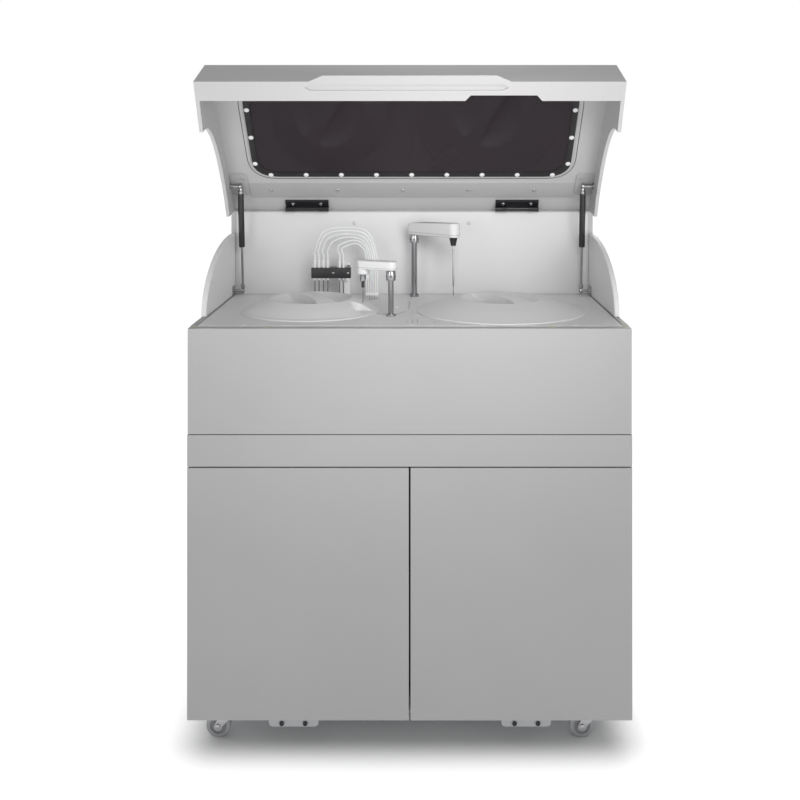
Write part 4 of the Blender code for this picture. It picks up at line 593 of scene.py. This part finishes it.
def posts():
    """A post turned about z with a wider collar under its arm, and three black screws on the collar."""
    for side, (x, y), radius, under, collar_r, collar_h in (
        ("left", LEFT_POST, 0.006, 0.0985, 0.0105, 0.021),
        ("right", RIGHT_POST, 0.007, 0.152, 0.0115, 0.020),
    ):
        top = under - SEAT
        low = top - collar_h
        profile = [
            (0, -0.110), (radius, -0.110), (radius, low), (collar_r, low), (collar_r, top - 0.0006),
            (radius, top), (0, top),
        ]
        body = side + "_post"
        column = lathe(eased(profile, 0.0009, 3), at(x, y, 0), steps=48)
        make(side + "_post_column", [column], STEEL, body, [side + "_post"])
        holes = []
        for turn in np.radians([-150, -90, -30]):
            out = np.array([np.cos(turn), np.sin(turn), 0])
            place = at(x, y, low + collar_h * 0.45) + out * (collar_r - 0.0006)
            holes.append(screw(place, 0.0027, 0.0009, out))
        make(side + "_collar_screws", holes, BLACK_COAT, body)


def capsule(tail, head, radius, steps=24):
    """A long outline with half circles of one radius about two places."""
    tail, head = np.asarray(tail, float), np.asarray(head, float)
    turn = np.arctan2(*(head - tail)[::-1])
    t = np.linspace(-np.pi / 2, np.pi / 2, steps)
    front = head + radius * np.stack([np.cos(turn + t), np.sin(turn + t)], 1)
    rear = tail + radius * np.stack([np.cos(turn + np.pi + t), np.sin(turn + np.pi + t)], 1)
    return np.concatenate([front, rear])


def left_arm():
    """The small arm: shell, seam, needle, sleeve, nut and a tube's end."""
    x, y = LEFT_PROBE
    tail, head = (LEFT_POST[0], FRONT + LEFT_POST[1]), (x, FRONT + y)
    shell = slab(capsule(tail, head, 0.0138), DECK + 0.0985, DECK + 0.1185, 0.0036, steps=5)
    around = capsule(head, (head[0] - 0.00001, head[1]), 0.0136)
    drop = slab(around, DECK + 0.0875, DECK + 0.112, 0.0022, steps=4)
    make("left_arm_shell", [shell, drop], COVER_PLASTIC, "left_arm", ["left_arm_cover"])
    seam = slab(capsule(tail, head, 0.01392), DECK + 0.1030, DECK + 0.1034, 0.0)
    make("left_arm_seam", [seam], SHADOW_GAP, "left_arm")
    stem = [(0, 0.0240), (0.0008, 0.0245), (0.0014, 0.0280), (0.0014, 0.062), (0, 0.062)]
    needle = lathe(stem, at(x, y, 0), steps=20)
    make("left_probe_needle", [needle], STEEL, "left_arm", ["left_probe"])
    tip = eased([(0, 0.0582), (0.0035, 0.0582), (0.0035, 0.0720), (0, 0.0720)], 0.0008)
    sleeve = lathe(tip, at(x, y, 0), steps=28)
    make("left_probe_sleeve", [sleeve], BLACK_PLASTIC, "left_arm")
    hexagon = eased([(0, 0.0722), (0.0065, 0.0722), (0.0065, 0.0872), (0, 0.0872)], 0.0008)
    nut = lathe(hexagon, at(x, y, 0), steps=6)
    ridge = lathe([(0.0, 0.0775), (0.0069, 0.0775), (0.0069, 0.0785), (0.0, 0.0785)], at(x, y, 0), steps=28)
    make("left_probe_nut", [nut, ridge], STEEL, "left_arm", angle=30)
    hook = through([at(x + dx, y + dy, h) for dx, dy, h in (
        (0.0100, -0.0030, 0.0878), (0.0104, -0.0034, 0.0820),
        (0.0086, -0.0030, 0.0760), (0.0044, -0.0010, 0.0735))], 24)
    make("left_probe_tube", [pipe(hook, 0.0010, (0, 1, 0), 12)], TUBING, "left_arm")


def right_arm():
    """The large arm: a shell whose top slopes down behind the post, seam, needle and ribbed boot."""
    x, y = RIGHT_PROBE
    tail, head = np.array([RIGHT_POST[0], FRONT + RIGHT_POST[1]]), np.array([x, FRONT + y])
    points, faces = slab(capsule(tail, head, 0.0155), DECK + 0.152, DECK + 0.186, 0.0034, steps=5)
    along = (points[:, :2] - tail) @ unit(head - tail)
    lowered = np.clip((0.0090 - along) / 0.0240, 0, 1) * 0.011
    top_share = smooth(0.160, 0.186, points[:, 2] - DECK)
    points[:, 2] -= lowered * top_share
    shell = (points, faces)
    make("right_arm_shell", [shell], COVER_PLASTIC, "right_arm", ["right_arm_cover"])
    seam = slab(capsule(tail, head, 0.01562), DECK + 0.1585, DECK + 0.1590, 0.0)
    make("right_arm_seam", [seam], SHADOW_GAP, "right_arm")
    stem = [(0, 0.0145), (0.0008, 0.0150), (0.0010, 0.0370), (0.0020, 0.0380), (0.0020, 0.1345), (0, 0.1345)]
    needle = lathe(stem, at(x, y, 0), steps=24)
    make("right_probe_needle", [needle], STEEL, "right_arm", ["right_probe"])
    h = np.linspace(0.1327, 0.1517, 25)
    r = 0.0060 + (h - 0.1327) / 0.019 * 0.004 - 0.0005 * (0.5 + 0.5 * np.cos(np.arange(25) * np.pi))
    boot = np.concatenate([[(0, h[0])], np.stack([r, h], 1), [(0, h[-1])]])
    ribbed = lathe(boot, at(x, y, 0), steps=36)
    make("right_probe_boot", [ribbed], BLACK_PLASTIC, "right_arm")


# Wash station

def wash_station():
    """Support, black block with caps and screws, and at each station a needle, a nut, a sleeve and a barb."""
    eased_copy("wash_support", CLEAN_WHITE, 0.0008)
    y = WASH_Y
    low, high = at(-0.2417, y - 0.008, 0.0495), at(-0.1467, y + 0.008, 0.074)
    head = block(low, high, 0.0015, 0.0010)
    make("wash_head_block", [head], BLACK_PLASTIC, "wash_head", ["wash_block"])
    caps = [
        block(at(-0.1560, y - 0.0065, 0.0741), at(-0.1490, y + 0.0065, 0.0800), 0.001, 0.0008),
        block(at(-0.1965, y - 0.0050, 0.0741), at(-0.1800, y + 0.0050, 0.0770), 0.001, 0.0008),
    ]
    make("wash_head_caps", caps, DARK_GREY, "wash_head")
    bolts = [screw(at(x, y - 0.008, 0.0620), 0.0030, 0.0014, (0, -1, 0)) for x in (-0.1890, -0.1535)]
    make("wash_head_screws", bolts, STEEL, "wash_head")
    needles, fittings = [], []
    for x in STATIONS:
        stem = [(0, -0.030), (0.0008, -0.029), (0.0014, -0.026), (0.0014, 0.0500), (0, 0.0500)]
        needles.append(lathe(stem, at(x, y, 0), steps=16))
        nut = [(0, 0.0735), (0.0036, 0.0735), (0.0036, 0.0920), (0, 0.0920)]
        fittings.append(lathe(eased(nut, 0.0005, 2), at(x, y, 0), steps=6))
        sleeve = [(0, 0.0440), (0.0030, 0.0440), (0.0030, 0.0500), (0, 0.0500)]
        fittings.append(lathe(sleeve, at(x, y, 0), steps=20))
        teeth = np.arange(9) * 0.0017 + 0.0918
        barb = np.stack([np.where(np.arange(9) % 2 == 0, 0.0027, 0.0020), teeth], 1)
        barb = np.concatenate([[(0, 0.0918)], barb, [(0, teeth[-1])]])
        fittings.append(lathe(barb, at(x, y, 0), steps=20))
    make("wash_needles", needles, STEEL, "wash_head")
    make("wash_fittings", fittings, CLEAN_WHITE, "wash_head", angle=30)


def wash_tubes():
    """Six soft tubes through listed places, up from the fittings, over and down to one bundle."""
    y = WASH_Y
    tubes = []
    for i, x in enumerate(STATIONS):
        end = TUBE_BUNDLE_X + 0.0052 * (2.5 - i)
        top = 0.132 + 0.0078 * (5 - i)
        lean = -0.004 * np.sin(i) if i < 4 else -0.0090
        shift = 0.0022 * (i % 2) - 0.001
        mid = x + (end - x) * 0.5
        route = [
            (x, y, 0.1045), (x + lean * 0.5, y + shift, 0.1150),
            (x + (mid - x) * 0.28 + lean, y + shift * 2, top - 0.010), (mid, y + shift * 2, top),
            (end + (mid - end) * 0.30, y + shift, top - 0.012),
            (end - 0.0006, y, 0.0960), (end, y, 0.0500), (end, y, 0.0150), (end, y, -0.0390),
        ]
        tubes.append(pipe(through([at(*place) for place in route], 72), 0.0016, (0, 1, 0), 14))
    return make("soft_wash_tubes", tubes, TUBING, None, ["wash_tubes"], 60)


def tube_clip():
    """The white clip that holds the bundle at the deck."""
    low, high = at(-0.112, 0.3965, 0.006), at(-0.080, 0.4035, 0.014)
    make("wash_tube_clip", [block(low, high, 0.001, 0.0006)], CLEAN_WHITE, "root")


# Struts

def along_strut(side, profile, steps=32):
    """A round profile about the strut's own line: place = low + s ahead + r (cos t, sin t)."""
    ahead = (STRUT_TOP - STRUT_LOW) / np.hypot(*(STRUT_TOP - STRUT_LOW))
    r, s = np.asarray(profile, float).T
    t = np.linspace(0, 2 * np.pi, steps, endpoint=False)[:, None]
    x = side * STRUT_X + r * np.cos(t)
    out = r * np.sin(t)
    y = STRUT_LOW[0] + s * ahead[0] + out * ahead[1]
    h = STRUT_LOW[1] + s * ahead[1] - out * ahead[0]
    return skin(at(x, y, h), closed_u=True)


def strut_eye(side, place, radius, edge):
    """A short cylinder about x at either end of a strut."""
    ends = [(0, -0.0035), (radius, -0.0035), (radius, 0.0035), (0, 0.0035)]
    return lathe(eased(ends, edge), at(side * STRUT_X, *place), "X", 36)


def struts():
    """Rod with eye and nut, tube, and socket of each gas strut, as profiles (r, s) about its own line."""
    rod_line = eased([(0, 0.003), (0.0030, 0.003), (0.0030, 0.129), (0, 0.129)], 0.0004)
    nut_line = eased([(0, 0.0068), (0.0050, 0.0068), (0.0050, 0.0150), (0.0031, 0.0165), (0, 0.0165)], 0.0006)
    tube_line = eased([
        (0.0042, 0.109), (0.0068, 0.109), (0.0073, 0.1105), (0.0073, 0.2380), (0.0060, 0.2420), (0.0, 0.2425),
        (0.0, 0.2050), (0.0042, 0.2050), (0.0042, 0.109)], 0.0008, 3)
    collar_line = eased([
        (0, 0.2400), (0.0066, 0.2400), (0.0066, 0.2470), (0.0042, 0.2490), (0.0042, 0.2560),
        (0, 0.2560)], 0.0007, 3)
    for name, side in SIDES:
        rod, tube = name + "_strut_rod", name + "_strut_tube"
        eye = strut_eye(side, STRUT_LOW, 0.0070, 0.0010)
        piston = [eye, along_strut(side, rod_line), along_strut(side, nut_line, 6)]
        make(name + "_strut_piston", piston, STEEL, rod, [rod])
        cylinder = [along_strut(side, tube_line)]
        make(name + "_strut_cylinder", cylinder, BLACK_COAT, tube, [tube])
        socket = [along_strut(side, collar_line), strut_eye(side, STRUT_TOP, 0.0068, 0.0014)]
        make(name + "_strut_socket", socket, STEEL, tube)
        eased_copy(name + "_lower_stud", STEEL, 0.0005)
        eased_copy(name + "_upper_stud", STEEL, 0.0004)


# Lid

def lid_body():
    """The shell, the smoked pane and the hinges' black leaves and straps."""
    eased_copy("lid_shell", MOULDED, 0.0016, 3, angle=28)
    eased_copy("lid_window", SMOKED, 0.0006)
    for node in ("left_hinge_leaf", "right_hinge_leaf", "left_hinge_strap", "right_hinge_strap"):
        eased_copy(node, BLACK_COAT, 0.0005)


def lid_window_frame():
    """The black gasket, from an outer to an inner rounded rectangle, and the white caps on it."""
    outer = rectangle(-PANE_HALF, PANE_HALF, 0.060, 0.342, 0.064, 12)
    inner = rectangle(-PANE_HALF + 0.014, PANE_HALF - 0.014, 0.074, 0.328, 0.054, 12)
    depth = np.array([0.0072, 0.0066, 0.0086, 0.0090, 0.0090, 0.0086, 0.0070])[:, None]
    share = np.array([0.0, 0.0, 0.02, 0.10, 0.86, 0.97, 1.0])[:, None, None]
    flat = outer[None] * (1 - share) + inner[None] * share
    ring = np.concatenate([flat, np.broadcast_to(depth[..., None], flat.shape[:2] + (1,))], axis=-1)
    grid = np.concatenate([ring, ring[:1]])
    gasket = on_lid(skin(grid, closed_v=True))
    make("window_gasket", [gasket], GASKET, "lid", ["window_frame"])
    dome = [
        (0.0, 0.0122), (0.0030, 0.0119), (0.0050, 0.0108), (0.0061, 0.0092), (0.0063, 0.0078), (0.0, 0.0078)
    ]
    places = [(x, 0.342 - 0.0072) for x in np.linspace(-0.337, 0.337, 9)]
    places += [(side * (PANE_HALF - 0.0072), 0.297 - 0.086 * i) for side in (-1, 1) for i in range(3)]
    caps = [on_lid(moved(lathe(dome, (0, 0, 0), steps=28), (x, along, 0))) for x, along in places]
    make("window_caps", caps, CLEAN_WHITE, "lid")


def lid_screw(x, along, depth, radius=0.0046, height=0.0018):
    """A screw on the lid's inner side."""
    return on_lid(moved(screw(np.zeros(3), radius, height), (x, along, depth)))


def lid_inner_details():
    """Hinge strip, its screws, the corner pads of the struts and the recess line around the window."""
    strip = slab(rectangle(-0.395, 0.395, 0.366, 0.417, 0.004), 0.0050, 0.0062, 0.0004)
    make("lid_hinge_strip", [on_lid(strip)], POWDER_COAT, "lid")
    heads = [lid_screw(x, 0.392, 0.0062) for x in (-0.343, -0.1815, -0.0218, 0.138, 0.298)]
    heads += [lid_screw(side * 0.4085, 0.352, 0.0056) for side in (-1, 1)]
    make("lid_screws", heads, BRUSHED, "lid")
    pads = []
    for side in (-1, 1):
        ends = sorted((side * 0.3960, side * 0.4385))
        pads.append(on_lid(slab(rectangle(*ends, 0.334, 0.410, 0.012, 6), 0.0036, 0.0056, 0.0006)))
    make("lid_corner_plates", pads, POWDER_COAT, "lid")
    line = rectangle(-0.389, 0.389, 0.049, 0.353, 0.070, 14)
    line = np.concatenate([line, line[:1]])
    path = np.concatenate([line, np.full((len(line), 1), 0.0034)], axis=1)
    make("lid_recess_line", [on_lid(pipe(path, 0.0009, (0, 0, 1), 8))], SHADOW_GAP, "lid")


def hinge_details():
    """Two round screws on each hinge's lid leaf."""
    places = [side * HINGE_X + offset for side in (-1, 1) for offset in (-0.034, 0.034)]
    heads = [lid_screw(x, 0.4385, 0.0088, 0.0052, 0.0022) for x in places]
    make("hinge_screws", heads, STEEL, "lid")


# Units under the deck and in the cabinet

def carousels():
    """The rotors, their motors, the reagent rack and the turned caps on its bottles, in two rings."""
    eased_copy("right_rotor", GREY_PLASTIC, 0.0006)
    eased_copy("left_rotor", GREY_PLASTIC, 0.0005)
    eased_copy("reagent_rack", COVER_PLASTIC, 0.0006)
    for node in ("left_rotor_motor", "right_rotor_motor"):
        eased_copy(node, BLACK_COAT, 0.0020)
    bottle_top = -0.0147
    side = [(0, -0.0076), (0.0073, -0.0076), (0.0073, -0.0004), (0.0062, 0.0002), (0, 0.0002)]
    caps = []
    for count, r in ((14, 0.1224), (6, 0.0684)):
        for turn in 2 * np.pi * np.arange(count) / count:
            place = at(RIGHT_COVER_X + r * np.cos(turn), COVER_Y + r * np.sin(turn), bottle_top)
            caps.append(lathe(eased(side, 0.0006, 2), place, steps=24))
    make("reagent_caps", caps, BLACK_PLASTIC, "right_rotor")


def fluid_bottles():
    """The drip tray, two large bottles turned about z and their caps, each with 24 ribs."""
    low = CABINET_FLOOR
    tray = [(-0.385, -0.225), (0.385, -0.225), (0.385, -0.055), (-0.385, -0.055)]
    base = slab(eased(tray, 0.012, 6, closed=True), low, low + 0.004, 0.0012)
    make("drip_tray", [base], GREY_PLASTIC, "root", ["fluid_bottles"])
    body = eased([
        (0, 0.0042), (0.078, 0.0042), (0.0808, 0.012), (0.0808, 0.070), (0.0792, 0.074), (0.0808, 0.078),
        (0.0808, 0.196), (0.062, 0.222), (0.028, 0.238), (0.026, 0.243), (0.026, 0.248),
        (0, 0.248)], 0.006, 5)
    cap = eased([(0, 0.2465), (0.0262, 0.2465), (0.0262, 0.2700), (0, 0.2700)], 0.002, 3)
    for (name, side), colour in zip(SIDES, (DARK_GREY, CLEAN_WHITE)):
        x, y = side * 0.300, FRONT + 0.200
        bottle = lathe(body, (x, y, low), steps=72)
        make(name + "_fluid_bottle", [bottle], BOTTLE_PLASTIC, "root")
        shapes = [lathe(cap, (x, y, low), steps=48)]
        for t in 2 * np.pi * np.arange(24) / 24:
            rib_x, rib_y = x + 0.0255 * np.cos(t), y + 0.0255 * np.sin(t)
            near = (rib_x - 0.0008, rib_y - 0.0008, low + 0.2480)
            far = (rib_x + 0.0008, rib_y + 0.0008, low + 0.2680)
            shapes.append(block(near, far, 0.0002, 0.0002))
        make(name + "_fluid_bottle_cap", shapes, colour, "root")


def service_units():
    """The pump with its three collars and the power supply with its nine vents, drawn as near-black blocks of
    painted shade.
    """
    eased_copy("pump_unit", GREY_PLASTIC, 0.0020)
    eased_copy("power_supply", BRUSHED, 0.0015)
    low, y = CABINET_FLOOR, CABINET_UNITS_Y
    vents = []
    for i in range(9):
        x = 0.220 - 0.080 + 0.020 * i
        near, far = (x - 0.0035, y - 0.0708, low + 0.025), (x + 0.0035, y - 0.0698, low + 0.085)
        # Each vent is a thin near-black block on the supply's face: painted shade where the opening's dark
        # inside would be.
        vents.append(block(near, far, 0.003, 0.0002, "Y"))
    make("power_supply_vents_painted_shade", vents, SHADOW_GAP, "root")
    collars = []
    for i in range(3):
        x = -0.200 + (i - 1) * 0.070
        near, far = (x - 0.017, y - 0.017, low + 0.1795), (x + 0.017, y + 0.017, low + 0.1880)
        collars.append(block(near, far, 0.004, 0.0015))
    make("pump_collars", collars, BLACK_PLASTIC, "root")


# Light, floor and camera

def studio_floor():
    """A white floor that emits light, dimmed near and under the object's footprint as a painted shadow: its
    emission rises with the distance |max(|p| - half, 0)| from the footprint.
    """
    span = 30.0
    corners = [(-span, -span, 0), (span, -span, 0), (span, span, 0), (-span, span, 0)]
    floor = bpy.data.meshes.new("floor")
    floor.from_pydata(corners, [], [(0, 1, 2, 3)])
    stage = bpy.data.objects.new("floor", floor)
    bpy.context.collection.objects.link(stage)
    surface = finish("studio_floor", (0.96, 0.96, 0.96), (0.95, 0.95, 0.95), (0.75, 0.9), 60, 0.0001)
    surface.cycles.emission_sampling = "NONE"
    floor.materials.append(surface)
    nodes, links = surface.node_tree.nodes, surface.node_tree.links
    shader = nodes["Principled BSDF"]
    place = nodes.new("ShaderNodeTexCoord")
    spread = nodes.new("ShaderNodeVectorMath")
    spread.operation = "ABSOLUTE"
    beyond = nodes.new("ShaderNodeVectorMath")
    beyond.operation = "SUBTRACT"
    beyond.inputs[1].default_value = (0.39, 0.27, 0)
    clipped = nodes.new("ShaderNodeVectorMath")
    clipped.operation = "MAXIMUM"
    clipped.inputs[1].default_value = (0, 0, 0)
    gap = nodes.new("ShaderNodeVectorMath")
    gap.operation = "LENGTH"
    # The floor's emission drops to nothing near and under the object: a painted shadow.
    emission_with_painted_shadow = nodes.new("ShaderNodeMapRange")
    emission_with_painted_shadow.interpolation_type = "SMOOTHSTEP"
    for socket, value in (("From Min", 0.0), ("From Max", 0.13), ("To Min", 0.0), ("To Max", 0.68)):
        emission_with_painted_shadow.inputs[socket].default_value = value
    links.new(place.outputs["Object"], spread.inputs[0])
    links.new(spread.outputs["Vector"], beyond.inputs[0])
    links.new(beyond.outputs["Vector"], clipped.inputs[0])
    links.new(clipped.outputs["Vector"], gap.inputs[0])
    links.new(gap.outputs["Value"], emission_with_painted_shadow.inputs["Value"])
    links.new(emission_with_painted_shadow.outputs["Result"], shader.inputs["Emission Strength"])
    shader.inputs["Emission Color"].default_value = (1, 1, 1, 1)


def studio_world():
    """A white backdrop for the camera, and for all other rays a soft light that falls off upwards."""
    world = bpy.data.worlds.new("studio")
    bpy.context.scene.world = world
    world.use_nodes = True
    background = world.node_tree.nodes["Background"]
    background.inputs["Color"].default_value = (1, 1, 1, 1)
    nodes, links = world.node_tree.nodes, world.node_tree.links
    toward = nodes.new("ShaderNodeTexCoord")
    parts = nodes.new("ShaderNodeSeparateXYZ")
    fade = nodes.new("ShaderNodeMapRange")
    for socket, value in (("From Min", 0.0), ("From Max", 0.8), ("To Min", 0.45), ("To Max", 0.40)):
        fade.inputs[socket].default_value = value
    backdrop = nodes.new("ShaderNodeBackground")
    ray = nodes.new("ShaderNodeLightPath")
    either = nodes.new("ShaderNodeMixShader")
    links.new(toward.outputs["Generated"], parts.inputs["Vector"])
    links.new(parts.outputs["Z"], fade.inputs["Value"])
    links.new(fade.outputs["Result"], background.inputs["Strength"])
    links.new(ray.outputs["Is Camera Ray"], either.inputs["Fac"])
    links.new(background.outputs["Background"], either.inputs[1])
    links.new(backdrop.outputs["Background"], either.inputs[2])
    links.new(either.outputs["Shader"], nodes["World Output"].inputs["Surface"])
    backdrop.inputs["Color"].default_value = (1, 1, 1, 1)
    bpy.context.scene.view_settings.view_transform = "Standard"


def lamps():
    """Four soft spotlights, each aimed at a place."""
    for name, place, aim, radius, power, cone in (
        ("key", (1.10, -2.15, 1.10), (0.0, 0.0, 1.36), 0.45, 50, 68),
        ("fill", (-1.10, -2.15, 1.10), (0.0, 0.0, 1.36), 0.45, 27, 68),
        ("deck_light", (0.25, -1.30, 1.62), (0.0, 0.02, 1.00), 0.30, 40, 54),
        ("rear", (0.6, 3.2, 2.0), (0.0, 0.3, 0.8), 0.7, 60, 100),
    ):
        light = bpy.data.lights.new(name, "SPOT")
        light.shadow_soft_size = radius
        light.energy = power
        light.spot_size = np.radians(cone)
        light.spot_blend = 1.0
        lamp = bpy.data.objects.new(name, light)
        lamp.location = place
        lamp.rotation_euler = (Vector(place) - Vector(aim)).to_track_quat("Z", "Y").to_euler()
        bpy.context.collection.objects.link(lamp)


def photo_camera():
    """The camera solved from the photograph: level, with its horizon near the picture's top."""
    lens = bpy.data.cameras.new("photo_view")
    lens.lens = 46.098
    lens.sensor_width = 36
    lens.shift_x = -0.028125
    lens.shift_y = -0.3225
    camera = bpy.data.objects.new("photo_view", lens)
    camera.location = (0.0259, -2.410, 1.2449)
    camera.rotation_euler = (np.pi / 2, 0, 0)
    bpy.context.collection.objects.link(camera)
    bpy.context.scene.camera = camera


studio_floor()
studio_world()
lamps()
photo_camera()
cabinet()
front_seams()
foot_screws()
casters()
disc_cover("right_disc_cover", RIGHT_COVER_X, 0.1886)
disc_cover("left_disc_cover", LEFT_COVER_X, 0.1534, (-0.1095, 0.168, 0.022))
deck_details()
wall_details()
posts()
left_arm()
right_arm()
wash_station()
WASH_TUBES = wash_tubes()
tuple(at(-0.160, 0.400, 0.130))
tuple(at(-0.112, 0.400, 0.130))
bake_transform(WASH_TUBES)
tube_clip()
struts()
lid_body()
lid_window_frame()
lid_inner_details()
hinge_details()
carousels()
fluid_bottles()
service_units()
